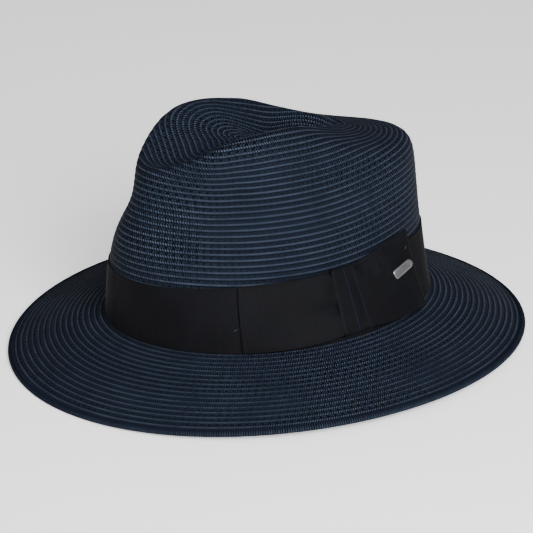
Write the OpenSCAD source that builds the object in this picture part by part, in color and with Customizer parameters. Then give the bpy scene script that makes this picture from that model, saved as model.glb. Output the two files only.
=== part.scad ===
// Braided summer fedora: a body sewn from rows of paper braid, blocked with a
// teardrop dent and side pinches, a turned-down brim with a folded edge over a
// nylon wire, a ribbon with a flat side bow, and a sweatband inside.
// Front of the hat is -Y, the wearer's left is +X, it stands on its brim edge.

/* [Head opening] */
// Opening inside the sweatband, front to back
head_length = 202; // [190:1:215]
// Opening inside the sweatband, side to side
head_width = 168; // [158:1:180]

/* [Crown] */
// Thickness of the sewn braid
braid = 1.3; // [1:0.1:1.8]
// Height of the crown at its middle, before the dent is pressed in
crown_height = 116; // [105:1:125]
// How much higher the blocked crown stands at the front than at the middle
crown_rake = 28; // [16:1:32]
// How squarely the crown turns in at the front
shoulder_front = 5.5; // [4:0.5:8]
// How squarely the crown turns in at the sides
shoulder_side = 12; // [6:0.5:14]
// How squarely the crown turns in at the back
shoulder_back = 12; // [6:0.5:14]
// Lean of the front wall from base to top, negative leans out
lean_front = -13; // [-18:1:0]
// Lean of the side walls from base to top
lean_side = 47; // [36:1:52]
// Share of the side walls' lean that comes late, toward the top
side_bow = 0.4; // [0:0.05:0.6]
// Lean of the back wall from base to top
lean_back = 4; // [0:1:12]

/* [Dent and pinches] */
// Depth of the teardrop dent
dent_depth = 26.5; // [20:0.5:32]
// Half width of the dent at its middle
dent_half = 53; // [44:1:60]
// How much the dent widens toward the front
dent_flare = 0.6; // [0.3:0.05:0.7]
// Distance of the dent's middle in front of the crown's middle
dent_ahead = 51; // [40:1:60]
// Half length of the dent
dent_reach = 90; // [80:1:98]
// Softness of the dent's rim
dent_soft = 1.3; // [1.2:0.1:1.8]
// Distance of the front drop ahead of the crown's middle
dip_ahead = 86; // [76:1:94]
// Drop of the rim at the very front
front_dip = 21.5; // [10:0.5:26]
// Half width of the front drop
dip_width = 28.5; // [24:0.5:36]
// Half length of the front drop
dip_length = 29.5; // [24:0.5:36]
// Depth of each side pinch
pinch_depth = 24; // [12:1:28]
// Angle of each pinch from the front
pinch_angle = 33; // [28:1:40]
// Width of each pinch round the crown, in degrees
pinch_spread = 33; // [26:1:38]
// Level of the pinches as a share of the crown height
pinch_level = 0.74; // [0.68:0.01:0.8]
// Spread of the pinches up and down as a share of the crown height
pinch_rise = 0.3; // [0.24:0.01:0.36]

/* [Brim] */
// Reach of the brim beyond the crown at the front
brim_front = 61; // [50:1:70]
// Reach of the brim beyond the crown at the sides
brim_side = 63; // [50:1:70]
// Reach of the brim beyond the crown at the back
brim_back = 59; // [50:1:70]
// Drop of the brim edge below the crown base at the front
drop_front = 24; // [14:1:32]
// Drop of the brim edge below the crown base at the sides
drop_side = 19; // [12:1:28]
// Drop of the brim edge below the crown base at the back
drop_back = 23; // [14:1:32]
// Share of the drop that comes late, toward the edge
brim_curl = 0.25; // [0:0.05:0.5]
// Width of the last row, folded over the edge
edge_width = 4; // [3:0.25:6]
// Thickness of each leg of the folded row
edge_leg = 0.9; // [0.7:0.1:1.2]
// Diameter of the wire in the edge
wire_d = 0.9; // [0.6:0.1:1.1]
// Length of the sleeve that joins the wire's ends
sleeve_length = 22; // [16:1:30]

/* [Sweatband] */
// Height of the sweatband
sweat_height = 34; // [25:1:38]
// Thickness of the sweatband
sweat_thick = 0.8; // [0.5:0.1:1.2]
// Width of the tape over the sweatband's seam
tape_width = 14; // [10:1:20]
// Thickness of that tape
tape_thick = 0.5; // [0.4:0.1:0.8]

/* [Ribbon and bow] */
// Width of the ribbon
ribbon_width = 37; // [30:0.5:40]
// Thickness of the ribbon
ribbon = 0.6; // [0.4:0.1:0.8]
// Angle of the knot's middle, from the front round the wearer's left
knot_angle = 96; // [90:1:110]
// Width of the knot
knot_width = 21; // [16:1:26]
// Length of the bow's front loop beyond the knot
loop_length = 62; // [50:1:70]
// Length of the bow's rear tail beyond the knot
tail_length = 52; // [40:1:60]
// Height of the bow's lower edge above the brim
bow_low = 3.5; // [2:0.5:6]
// Height that the tail's end stands above the ribbon
tail_rise = 9; // [4:1:14]
// Room between the bow's layers at the knot
bow_puff = 2.2; // [1.4:0.1:3.5]
// Extra puff halfway along the tail
tail_puff = 1.2; // [0.6:0.1:2]

/* [Plate] */
// Length of the plate on the bow's tail
plate_length = 16; // [12:0.5:20]
// Width of the plate
plate_width = 5.6; // [4:0.2:8]
// Thickness of the plate
plate_thick = 1; // [0.6:0.1:1.6]
// Distance of the plate's middle behind the knot
plate_behind = 34; // [28:1:40]
// Height of the plate's middle above the brim
plate_level = 31; // [24:0.5:34]
// Tilt of the plate, its rear end up
plate_tilt = 16; // [0:1:30]

/* [Hidden] */

fit = 0.25;          // room between one layer and the next
slit = 0.1;          // room round what passes through a slit
turn = 5;            // degrees from one station to the next round the hat
rows = 24;           // steps up the crown from its base to its tip
look = 2;            // step for finding which way a surface faces
full = 360;

braid_colour = [0.10, 0.13, 0.19];
ribbon_colour = [0.05, 0.05, 0.06];
band_colour = [0.08, 0.09, 0.12];
plate_colour = [0.75, 0.76, 0.78];
wire_colour = [0.80, 0.80, 0.78];

// Semi-axes of the crown's outside at its base
base_y = head_length / 2 + sweat_thick + fit + braid;
base_x = head_width / 2 + sweat_thick + fit + braid;

stations = [for (i = [0 : full / turn - 1]) i * turn];

// A value that changes smoothly from front to side to back
function around(front, side, back, a) =
    side * pow(sin(a), 2) + (front + back) / 2 * pow(cos(a), 2) + (front - back) / 2 * cos(a);
function bell(x, spread) = exp(-pow(x / spread, 2));
function near(a) = a > full / 2 ? a - full : a;
function unit(v) = v / norm(v);
function mix(p, q, t) = p + (q - p) * t;

// ---- crown surface ----
function shoulder(a) = around(shoulder_front, shoulder_side, shoulder_back, a);
function lean(a, u) = around(lean_front / base_y * u,
    lean_side / base_x * u * mix(1, u, side_bow), lean_back / base_y * u, a);

// The open crown: u is the share of its height, r the share of its radius
function open_crown(a, u, r) =
    let (q = r * (1 - lean(a, u)))
    [base_x * sin(a) * q, -base_y * cos(a) * q, crown_height * u + crown_rake * cos(a) * q * u];

// How much of the pinch is felt at a point of the open crown
pinch_full = 1.5;    // the pinch is whole outside this inverse share of the radius
function pinch(a, u, r) =
    (bell(near(a) - pinch_angle, pinch_spread) + bell(near(a) + pinch_angle, pinch_spread))
    * bell(u - pinch_level, pinch_rise) * min(1, pinch_full * r);

// The pressing fades out between these shares of the height, so the base stays flat
press_whole = 0.75;
press_none = 0.3;
function pressed(u) =
    let (t = max(0, min(1, (u - press_none) / (press_whole - press_none))))
    t * t * (3 - 2 * t);

// How far the dent presses the open crown down
function dent(p) =
    let (v = (p[1] + dent_ahead) / dent_reach,
         w = dent_half * (1 - dent_flare * v),
         q = pow(p[0] / w, 2) + v * v)
    q < 1 ? dent_depth * pow(1 - q, dent_soft) : 0;

function dip(p, u) =
    front_dip * bell(p[0], dip_width) * bell(p[1] + dip_ahead, dip_length) * pow(u, 3);

function blocked(a, u, r) =
    let (p = open_crown(a, u, r), k = 1 - pinch_depth / base_x * pinch(a, u, r))
    [p[0] * k, p[1] * k, p[2] - (dent(p) + dip(p, u)) * pressed(u)];

// The crown at slope angle s: 0 at its base, 90 at its tip
function crown_at(a, s) =
    let (n = shoulder(a), k = pow(pow(cos(s), n) + pow(sin(s), n), -1 / n))
    blocked(a, sin(s) * k, cos(s) * k);

function crown_out(a, s) =
    unit(cross(crown_at(a + look, s) - crown_at(a - look, s),
        crown_at(a, min(s + look, 90 - look / 2)) - crown_at(a, max(s - look, 0))));

// The crown's wall at height v above its base, and a point d outside of it
function wall_at(a, v) =
    let (n = shoulder(a), u = v / (crown_height + crown_rake * cos(a)))
    blocked(a, u, pow(1 - pow(u, n), 1 / n));
function wall_out(a, v) =
    unit(cross(wall_at(a + look, v) - wall_at(a - look, v),
        wall_at(a, v + look) - wall_at(a, max(v - look, 0))));
function wall(a, v, d) = wall_at(a, max(v, 0)) + d * wall_out(a, max(v, look));

// ---- brim surface ----
function brim_reach(a) = around(brim_front, brim_side, brim_back, a);
function brim_drop(a) = around(drop_front, drop_side, drop_back, a);

// The brim's upper face at share t of its reach
function brim_top(a, t) =
    let (o = unit([sin(a) / base_x, -cos(a) / base_y]), w = brim_reach(a) * t)
    [base_x * sin(a) + o[0] * w, -base_y * cos(a) + o[1] * w,
     -brim_drop(a) * mix(t, t * t, brim_curl)];
function brim_up(a, t) =
    let (e = 0.02)
    unit(cross(brim_top(a, t + e) - brim_top(a, max(t - e, 0)),
        brim_top(a + look, t) - brim_top(a - look, t)));
function brim_at(a, t, d) = brim_top(a, t) + d * brim_up(a, t);

// ---- lofts ----
// Faces between n sections of m points each; a ring joins the last to the first
function skin(n, m, ring) = [for (i = [0 : ring ? n - 1 : n - 2], j = [0 : m - 1])
    let (a = i * m, b = (i + 1) % n * m, k = (j + 1) % m)
    each [[a + j, a + k, b + k], [a + j, b + k, b + j]]];
// End faces, for sections that run along one side and come back along the other
function ends(n, m) = [for (j = [0 : m / 2 - 2]) let (z = (n - 1) * m, o = m - 1 - j)
    each [[z + j, z + j + 1, z + o - 1], [z + j, z + o - 1, z + o],
        [o, o - 1, j + 1], [o, j + 1, j]]];
function flip(list) = [for (i = [len(list) - 1 : -1 : 0]) list[i]];

module loft(sections, ring = false) {
    n = len(sections);
    m = len(sections[0]);
    polyhedron(points = [for (s = sections) each s],
        faces = ring ? skin(n, m, true) : concat(skin(n, m, false), ends(n, m)));
}

// ---- edge of the brim ----
sleeve_wall = 0.2;
sleeve_room = 0.05;                                    // round the wire and round the sleeve
sleeve_d = wire_d + 2 * (sleeve_room + sleeve_wall);
channel = max(braid / 2 + slit, sleeve_d / 2 + sleeve_room);   // half the height inside the fold
wire_back = edge_leg + sleeve_room + sleeve_d / 2;     // from the tip of the edge to the wire
brim_end = wire_back + sleeve_d / 2 + sleeve_room;     // from the tip of the edge to the brim
round_in = 0.3;                                        // shares that round the fold's nose
round_up = 0.7;

// A point at distance back from the tip of the edge and h above the brim's middle
function edge_point(a, back, h) =
    brim_at(a, 1 - back / norm([brim_reach(a), brim_drop(a)]), h - braid / 2);
function edge_section(a) = let (top = channel + edge_leg) [for (q = [
    [edge_width, -top], [top, -top], [round_in * top, -round_up * top], [0, 0],
    [round_in * top, round_up * top], [top, top], [edge_width, top],
    [edge_width, channel], [edge_leg, channel], [edge_leg, -channel], [edge_width, -channel]])
    edge_point(a, q[0], q[1])];

// The hat stands on the edge of its brim, with its middle over the origin
edge_points = [for (a = stations) each edge_section(a)];
edge_y = [for (p = edge_points) p[1]];
stand = [0, -(min(edge_y) + max(edge_y)) / 2, -min([for (p = edge_points) p[2]])];
module placed() translate(stand) children();

wire_sides = 6;
function round_section(a, d) = [for (i = [0 : wire_sides - 1]) let (w = i * full / wire_sides)
    edge_point(a, wire_back - d / 2 * cos(w), d / 2 * sin(w))];
half = full / 2;
wire_gap = 0.3;                                        // degrees from the back to the wire's end
edge_degree = norm(brim_at(half + look, 1, 0) - brim_at(half - look, 1, 0)) / (2 * look);
sleeve_half = sleeve_length / 2 / edge_degree;

module edge_braid() color(braid_colour) placed()
    loft([for (a = stations) edge_section(a)], true);

module edge_wire() color(wire_colour) placed()
    loft([for (a = concat([half + wire_gap, half + sleeve_half],
            [for (a = stations) if (a > sleeve_half + look && a < full - sleeve_half - look) half + a],
            [half + full - sleeve_half, half + full - wire_gap]))
        round_section(a, wire_d)]);

// The sleeve is a tube over the two ends of the wire
module wire_sleeve() color(plate_colour) placed() {
    n = 2 * wire_sides;
    marks = [half - sleeve_half, half, half + sleeve_half];
    points = [for (a = marks)
        each concat(round_section(a, sleeve_d), round_section(a, sleeve_d - 2 * sleeve_wall))];
    m = wire_sides;
    polyhedron(points = points, faces = concat(
        [for (i = [0 : len(marks) - 2], j = [0 : m - 1])
            let (a = i * n, b = a + n, k = (j + 1) % m)
            each [[a + j, a + k, b + k], [a + j, b + k, b + j],
                [a + m + k, a + m + j, b + m + j], [a + m + k, b + m + j, b + m + k]]],
        [for (j = [0 : m - 1]) let (z = (len(marks) - 1) * n, k = (j + 1) % m)
            each [[j, m + j, m + k], [j, m + k, k],
                [z + j, z + k, z + m + k], [z + j, z + m + k, z + m + j]]]));
}

// ---- crown and brim ----
function crown_in(a, s) = let (p = crown_at(a, s) - braid * crown_out(a, s))
    s == 0 ? [p[0], p[1], 0] : p;

module crown() color(braid_colour) placed() {
    n = len(stations);
    tip = crown_at(0, 90);
    outer = [for (j = [0 : rows - 1], a = stations) crown_at(a, 90 * j / rows)];
    inner = [for (j = [0 : rows - 1], a = stations) crown_in(a, 90 * j / rows)];
    z = len(outer) + 1;                                // where the inner points start
    last = (rows - 1) * n;
    polyhedron(points = concat(outer, [tip], inner, [tip - [0, 0, braid]]), faces = concat(
        [for (j = [0 : rows - 2], i = [0 : n - 1])
            let (a = j * n, b = a + n, k = (i + 1) % n)
            each [[a + i, b + i, b + k], [a + i, b + k, a + k],
                [z + a + i, z + b + k, z + b + i], [z + a + i, z + a + k, z + b + k]]],
        [for (i = [0 : n - 1]) let (k = (i + 1) % n)
            each [[last + i, z - 1, last + k], [z + last + i, z + last + k, z + z - 1],
                [i, k, z + k], [i, z + k, z + i]]]));
}

// The brim starts with a flat lip under the crown's wall, where the two are sewn
brim_steps = 5;
function brim_lip(a, z) = let (p = brim_top(a, 0), q = brim_top(a, -braid / brim_reach(a)))
    [q[0], q[1], z];
function brim_line(a, d) = [for (i = [0 : brim_steps]) let (w = norm([brim_reach(a), brim_drop(a)]))
    brim_at(a, i / brim_steps * (1 - brim_end / w), d)];

module brim() color(braid_colour) placed()
    loft([for (a = stations) concat([brim_lip(a, -braid)], brim_line(a, -braid),
        flip(brim_line(a, 0)), [brim_lip(a, 0)])], true);

// ---- strips that lie on the crown's wall ----
// A strip from height low to high, from distance near to far outside the wall
function strip_section(a, low, high, near, far, steps) = concat(
    [for (i = [0 : steps]) wall(a, mix(low, high, i / steps), far)],
    [for (i = [steps : -1 : 0]) wall(a, mix(low, high, i / steps), near)]);

sweat_out = -braid - fit;
tape_half = tape_width / 2 / (base_x * PI / half);
tape_out = sweat_out - sweat_thick - slit;

module sweatband() color(band_colour) placed()
    loft([for (a = stations)
        strip_section(a, 0, sweat_height, sweat_out - sweat_thick, sweat_out, 2)], true);

module sweatband_tape() color(ribbon_colour) placed()
    loft([for (a = [half - tape_half, half, half + tape_half])
        strip_section(a, 0, sweat_height, tape_out - tape_thick, tape_out, 2)]);

// ---- ribbon ----
side_degree = base_y * PI / half;                      // length of a degree beside the knot
butt = 0.3;                                            // degrees from the knot's middle to an end
ribbon_low = 0.5;                                      // height of the ribbon over the brim
ribbon_rows = 3;

module hatband() color(ribbon_colour) placed()
    loft([for (a = concat([knot_angle + butt],
            [for (i = [ceil((knot_angle + 1) / turn) : floor((knot_angle + full - 1) / turn)]) i * turn],
            [knot_angle + full - butt]))
        strip_section(a, ribbon_low, ribbon_width, fit, fit + ribbon, ribbon_rows)]);

// ---- bow ----
half_knot = knot_width / 2 / side_degree;
loop_end = knot_angle - half_knot - loop_length / side_degree;
tail_end = knot_angle + half_knot + tail_length / side_degree;
layer_room = 0.2;                                      // between one layer of ribbon and the next
backing_in = fit + ribbon + layer_room;
layer_in = backing_in + ribbon + layer_room;           // where the bow's inner layer starts
fold_gap = ribbon + layer_room;                        // between the layers' middles at a fold
knot_in = layer_in + ribbon + bow_puff + ribbon + layer_room;
bow_steps = 9;
fold_turns = [45, 90, 135];

// Rise of the outer layer's middle over the inner one's at angle a
function lift_at(a, end, puff) =
    let (f = min(1, abs(a - end) / (abs(knot_angle - end) - half_knot - look)))
    mix(fold_gap, bow_puff + ribbon, f) + puff * sin(half * f);

// One folded ribbon from its open end at start to its fold at end, as [angle, distance]
// on its outer side (side = 1) or inner side (side = -1)
function folded(start, end, puff, side) =
    let (away = end > start ? 1 : -1, mid = layer_in + ribbon / 2, t = side * ribbon / 2,
         r = fold_gap / 2)
    concat(
        [for (i = [bow_steps : -1 : 0]) let (a = mix(end, start, i / bow_steps))
            [a, mid + lift_at(a, end, puff) + t]],
        [for (w = fold_turns) [end + away * (r + t) * sin(w) / side_degree,
            mid + r + (r + t) * cos(w)]],
        [for (i = [0 : bow_steps]) [mix(end, start, i / bow_steps), mid - t]]);

// A folded ribbon as a solid: low and high give its edges' heights at an angle
fan_steps = 3;
function bow_high(a) = ribbon_width + tail_rise
    * pow(max(0, (a - knot_angle - half_knot) / (tail_end - knot_angle - half_knot)), 1.3);
function bow_section(start, end, puff, h) =
    let (outline = concat(folded(start, end, puff, 1), flip(folded(start, end, puff, -1))),
         line = end > start ? flip(outline) : outline)
    [for (q = line) wall(q[0], mix(bow_low, bow_high(q[0]), h), q[1])];
module folded_ribbon(start, end, puff)
    loft([for (i = [0 : fan_steps]) bow_section(start, end, puff, i / fan_steps)]);

open_end = 1;                                          // degrees from the knot's middle

module bow_backing() color(ribbon_colour) placed()
    loft([for (i = [0 : 2 * bow_steps])
        strip_section(mix(loop_end + look, tail_end - look, i / (2 * bow_steps)),
            bow_low, ribbon_width - 1, backing_in, backing_in + ribbon, ribbon_rows)]);

module bow_loop() color(ribbon_colour) placed()
    folded_ribbon(knot_angle - open_end, loop_end, 0.5);

module bow_tail() color(ribbon_colour) placed() difference() {
    folded_ribbon(knot_angle + open_end, tail_end, tail_puff);
    on_plate() prongs(slit);
}

// The knot is wrapped over the bow from top to bottom
module bow_knot() color(ribbon_colour) placed()
    loft([for (i = [0 : 4]) let (a = mix(knot_angle - half_knot, knot_angle + half_knot, i / 4),
            low = bow_low - slit - ribbon, high = bow_high(a) + slit + ribbon,
            far = knot_in + ribbon)
        concat(
            [wall(a, low, layer_in), wall(a, low, far - ribbon), wall(a, low + ribbon, far)],
            [for (k = [1 : 2]) wall(a, mix(low, high, k / 3), far)],
            [wall(a, high - ribbon, far), wall(a, high, far - ribbon), wall(a, high, layer_in)],
            [wall(a, high - ribbon, layer_in), wall(a, high - ribbon, knot_in - ribbon / 2),
                wall(a, high - 1.5 * ribbon, knot_in)],
            [for (k = [2 : -1 : 1]) wall(a, mix(low, high, k / 3), knot_in)],
            [wall(a, low + 1.5 * ribbon, knot_in), wall(a, low + ribbon, knot_in - ribbon / 2),
                wall(a, low + ribbon, layer_in)])]);

// ---- plate on the tail ----
plate_at = knot_angle + plate_behind / side_degree;
plate_seat = layer_in + ribbon + lift_at(plate_at, tail_end, tail_puff) + slit;
prong_apart = plate_length * 0.55;
prong_width = 1.4;
prong_thick = 0.5;
prong_length = ribbon + 2 * slit + 0.6;

// Moves to the plate's seat: x runs to the rear, y up and z away from the tail
module on_plate() {
    out = wall_out(plate_at, plate_level);
    rear = unit(cross([0, 0, 1], out));
    up = cross(out, rear);
    p = wall_at(plate_at, plate_level) + plate_seat * out;
    multmatrix([[rear[0], up[0], out[0], p[0]], [rear[1], up[1], out[1], p[1]],
        [rear[2], up[2], out[2], p[2]], [0, 0, 0, 1]])
        rotate(plate_tilt) children();
}
module prongs(room)
    for (side = [-1, 1]) translate([side * prong_apart / 2, 0, -prong_length / 2])
        cube([prong_thick + 2 * room, prong_width + 2 * room, prong_length], center = true);

module badge_plate() color(plate_colour) placed() on_plate() {
    r = plate_width / 2;
    linear_extrude(plate_thick) polygon(concat(
        [for (w = [-90 : 15 : 90]) [plate_length / 2 - r + r * cos(w), r * sin(w)]],
        [[-plate_length / 2 + plate_thick, r], [-plate_length / 2, r - plate_thick],
            [-plate_length / 2, -r + plate_thick], [-plate_length / 2 + plate_thick, -r]]));
}

module badge_prongs() color(plate_colour) placed() on_plate() prongs(0);

// ---- tacks that hold the ribbon ----
tack_d = 0.6;
tack_length = 2.4;
tack_ahead = 4;                                        // degrees ahead of the loop's fold
module tack(a, v, d) {
    p = wall(a, v, d + slit + tack_d / 2);
    q = wall(a + tack_length / side_degree, v + tack_length / 2, d + slit + tack_d / 2);
    across = q - p;
    translate(p) rotate([0, acos(across[2] / norm(across)), atan2(across[1], across[0])])
        cylinder(h = norm(across), d = tack_d, $fn = 12);
}
module tack_stitches() color(ribbon_colour) placed() {
    tack(loop_end - tack_ahead, ribbon_width * 0.4, fit + ribbon);
    tack(tail_end - tack_ahead, ribbon_width,
        layer_in + ribbon + lift_at(tail_end - tack_ahead, tail_end, tail_puff));
}

crown();
brim();
edge_braid();
edge_wire();
wire_sleeve();
sweatband();
sweatband_tape();
hatband();
bow_backing();
bow_loop();
bow_tail();
bow_knot();
badge_plate();
badge_prongs();
tack_stitches();
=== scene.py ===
"""Dresses the braided fedora: rows of sewn braid, grosgrain ribbon, side bow, plate and sweatband.

Every length in this script is in millimetres until a mesh is made, where it becomes metres.
The hat's front is -Y, the wearer's left is +X, and the edge of the brim stands on z = 0.
"""
from __future__ import annotations

import logging
import math
from dataclasses import dataclass, field
from enum import Enum

import bpy
import numpy as np
from mathutils import Matrix, Vector

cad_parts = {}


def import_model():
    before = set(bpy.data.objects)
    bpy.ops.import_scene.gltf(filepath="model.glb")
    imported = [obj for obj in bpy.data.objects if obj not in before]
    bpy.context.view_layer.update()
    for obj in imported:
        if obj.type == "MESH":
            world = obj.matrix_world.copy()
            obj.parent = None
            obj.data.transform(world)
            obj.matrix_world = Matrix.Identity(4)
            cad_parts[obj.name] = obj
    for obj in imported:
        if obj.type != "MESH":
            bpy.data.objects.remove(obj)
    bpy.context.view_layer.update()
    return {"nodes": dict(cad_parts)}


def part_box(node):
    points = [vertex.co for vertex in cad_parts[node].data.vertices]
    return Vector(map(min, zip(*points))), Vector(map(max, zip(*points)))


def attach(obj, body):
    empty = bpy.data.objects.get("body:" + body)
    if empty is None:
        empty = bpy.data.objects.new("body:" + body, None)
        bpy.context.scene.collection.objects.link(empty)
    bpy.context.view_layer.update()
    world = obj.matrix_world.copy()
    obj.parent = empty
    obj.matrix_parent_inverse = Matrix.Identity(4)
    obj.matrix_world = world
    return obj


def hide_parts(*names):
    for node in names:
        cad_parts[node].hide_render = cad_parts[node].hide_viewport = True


MM = 0.001
FULL = 360.0
HALF = 180.0
QUARTER = 90.0
BODY = "root"
LOG = logging.getLogger("fedora")
TINY = 1e-12

Array = np.ndarray
Colour = tuple[float, float, float, float]


def around(front: float, side: float, back: float, a: Array) -> Array:
    """A value that changes smoothly from front to side to back.

    Args:
        front: Value at the front of the hat.
        side: Value at both sides.
        back: Value at the back.
        a: Angles from the front, in degrees.

    Returns:
        The value at each angle.
    """
    c = np.cos(np.radians(a))
    return side * (1 - c * c) + (front + back) / 2 * c * c + (front - back) / 2 * c


def bell(x: Array, spread: float) -> Array:
    """A smooth bump of height 1.

    Args:
        x: Distance from the bump's middle.
        spread: Distance at which it has fallen to 1/e.

    Returns:
        The bump's height at each distance.
    """
    return np.exp(-((x / spread) ** 2))


def smooth_step(low: float, high: float, x: Array) -> Array:
    """A smooth rise from 0 to 1.

    Args:
        low: Where it starts.
        high: Where it ends.
        x: Where it is read.

    Returns:
        The rise at each place.
    """
    t = np.clip((x - low) / (high - low), 0.0, 1.0)
    return t * t * (3 - 2 * t)


def unit(v: Array) -> Array:
    """Vectors scaled to length 1.

    Args:
        v: Vectors along the last axis.

    Returns:
        The unit vectors.
    """
    return v / np.maximum(np.linalg.norm(v, axis=-1, keepdims=True), TINY)


def ring_angles(columns: int) -> Array:
    """Evenly spaced angles round the hat.

    Args:
        columns: How many there are.

    Returns:
        The angles from the front, in degrees.
    """
    return np.arange(columns) * FULL / columns


def running(steps: Array) -> Array:
    """Distance covered at each point of a path.

    Args:
        steps: Lengths of its steps, along the last axis.

    Returns:
        The distances, starting at 0.
    """
    start = np.zeros((*steps.shape[:-1], 1))
    return np.concatenate([start, np.cumsum(steps, axis=-1)], axis=-1)


def at_distance(line: Array, run: Array, at: Array) -> Array:
    """Points of a line at distances along it.

    Args:
        line: Points of the line.
        run: Distance at each of them.
        at: Distances to read.

    Returns:
        The points.
    """
    return np.stack([np.interp(at, run, line[:, axis]) for axis in range(3)], axis=-1)


@dataclass(frozen=True)
class HatForm:
    """The blocked surfaces of crown and brim, round the middle of the crown's base."""

    head_length: float = 202.0
    head_width: float = 168.0
    sweat_thick: float = 0.8
    fit: float = 0.25
    braid: float = 1.3
    crown_height: float = 123.4
    crown_rake: float = 52.0
    length_rise: float = 20.4
    side_fall: float = 32.1
    shoulder: tuple[float, float, float] = (3.27, 11.5, 20.0)
    lean: tuple[float, float, float] = (-2.6, 46.9, 4.1)
    side_bow: float = -0.265
    dent_depth: float = 35.1
    dent_half: float = 52.3
    dent_flare: float = 0.561
    dent_ahead: float = 54.1
    dent_reach: float = 108.2
    dent_soft: float = 1.124
    dip_ahead: float = 75.5
    front_dip: float = 28.8
    dip_width: float = 38.3
    dip_length: float = 33.1
    pinch_depth: float = 24.0
    pinch_angle: float = 37.9
    pinch_spread: float = 29.4
    pinch_level: float = 0.58
    pinch_rise: float = 0.277
    pinch_full: float = 1.5
    press_none: float = 0.207
    press_whole: float = 0.644
    reach: tuple[float, float, float] = (61.0, 63.0, 59.0)
    drop: tuple[float, float, float] = (24.0, 19.0, 23.0)
    brim_curl: float = 0.25
    edge_width: float = 4.0
    edge_leg: float = 0.9
    slit: float = 0.1
    look: float = 0.5
    look_share: float = 0.01
    height_passes: int = 5

    @property
    def base_x(self) -> float:
        """Half width of the crown's outside at its base."""
        return self.head_width / 2 + self.sweat_thick + self.fit + self.braid

    @property
    def base_y(self) -> float:
        """Half length of the crown's outside at its base."""
        return self.head_length / 2 + self.sweat_thick + self.fit + self.braid

    def lean_in(self, a: Array, u: Array) -> Array:
        """How much of its radius the open crown has lost to its leaning walls.

        Args:
            a: Angles from the front, in degrees.
            u: Shares of the open crown's height.

        Returns:
            The shares of the radius.
        """
        c = np.cos(np.radians(a))
        side_u = u * (1 - self.side_bow + self.side_bow * u)
        return (
            self.lean[1] / self.base_x * side_u * (1 - c * c)
            + (self.lean[0] + self.lean[2]) / 2 / self.base_y * u * c * c
            + (self.lean[0] - self.lean[2]) / 2 / self.base_y * u * c
        )

    def open_height(self, a: Array, q: Array) -> Array:
        """Height of the open crown before anything is pressed in.

        Args:
            a: Angles from the front, in degrees.
            q: Shares of the base's radius.

        Returns:
            The heights.
        """
        c, s = np.cos(np.radians(a)) * q, np.sin(np.radians(a)) * q
        return (self.crown_height + self.crown_rake * c + self.length_rise * c * c
                - self.side_fall * s * s)

    def blocked(self, a: Array, u: Array, r: Array) -> Array:
        """Points of the crown after the dent and the pinches are pressed in.

        Args:
            a: Angles from the front, in degrees.
            u: Shares of the open crown's height.
            r: Shares of its radius.

        Returns:
            Points, one per angle, height and radius.
        """
        rad = np.radians(a)
        q = r * (1 - self.lean_in(a, u))
        x = self.base_x * np.sin(rad) * q
        y = -self.base_y * np.cos(rad) * q
        z = self.open_height(a, q) * u
        turn = (a + HALF) % FULL - HALF
        pinch = (
            (bell(turn - self.pinch_angle, self.pinch_spread)
             + bell(turn + self.pinch_angle, self.pinch_spread))
            * bell(u - self.pinch_level, self.pinch_rise)
            * np.minimum(1.0, self.pinch_full * r)
        )
        v = (y + self.dent_ahead) / self.dent_reach
        w = self.dent_half * (1 - self.dent_flare * v)
        inside = np.clip(1 - (x / w) ** 2 - v * v, 0.0, 1.0)
        press = self.dent_depth * inside**self.dent_soft
        press = press + self.front_dip * bell(x, self.dip_width) * bell(
            y + self.dip_ahead, self.dip_length
        ) * u**3
        press = press * smooth_step(self.press_none, self.press_whole, u)
        k = 1 - self.pinch_depth / self.base_x * pinch
        return np.stack([x * k, y * k, z - press], axis=-1)

    def crown_at(self, a: Array, s: Array) -> Array:
        """Points of the crown at slope angles, 0 at its base and 90 at its tip.

        Args:
            a: Angles from the front, in degrees.
            s: Slope angles, in degrees.

        Returns:
            The points.
        """
        n = around(*self.shoulder, a)
        c, t = np.cos(np.radians(s)), np.sin(np.radians(s))
        k = (c**n + t**n) ** (-1 / n)
        return self.blocked(a, t * k, c * k)

    def wall_at(self, a: Array, v: Array) -> Array:
        """Points of the crown's wall at heights above its base.

        Args:
            a: Angles from the front, in degrees.
            v: Heights, in millimetres.

        Returns:
            The points.
        """
        n = around(*self.shoulder, a)
        u = v / self.crown_height
        for _ in range(self.height_passes):
            u = v / self.open_height(a, 1 - self.lean_in(a, u))
        return self.blocked(a, u, (1 - np.abs(u) ** n) ** (1 / n))

    def wall(self, a: Array, v: Array, d: Array | float) -> Array:
        """Points at distance d outside the crown's wall.

        Args:
            a: Angles from the front, in degrees.
            v: Heights above the base.
            d: Distances from the wall, positive outward.

        Returns:
            The points.
        """
        a, v = np.broadcast_arrays(np.asarray(a, float), np.asarray(v, float))
        v = np.maximum(v, 0.0)
        h = np.maximum(v, self.look)
        across = self.wall_at(a + self.look, h) - self.wall_at(a - self.look, h)
        up = self.wall_at(a, h + self.look) - self.wall_at(a, h - self.look)
        out = unit(np.cross(across, up))
        return self.wall_at(a, v) + np.asarray(d)[..., None] * out

    def meridians(self, a: Array, samples: int = 900) -> tuple[Array, Array]:
        """Fine lines up the crown, and how far along each every point lies.

        Args:
            a: Angles from the front, in degrees.
            samples: Points on each line.

        Returns:
            Points, as angle by sample, and the distances from the base.
        """
        s = np.linspace(0.0, QUARTER, samples)
        p = self.crown_at(a[:, None], s[None, :])
        return p, running(np.linalg.norm(np.diff(p, axis=1), axis=2))

    def brim_width(self, a: Array) -> Array:
        """Width of the brim along its slope.

        Args:
            a: Angles from the front, in degrees.

        Returns:
            The widths.
        """
        return np.hypot(around(*self.reach, a), around(*self.drop, a))

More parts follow.
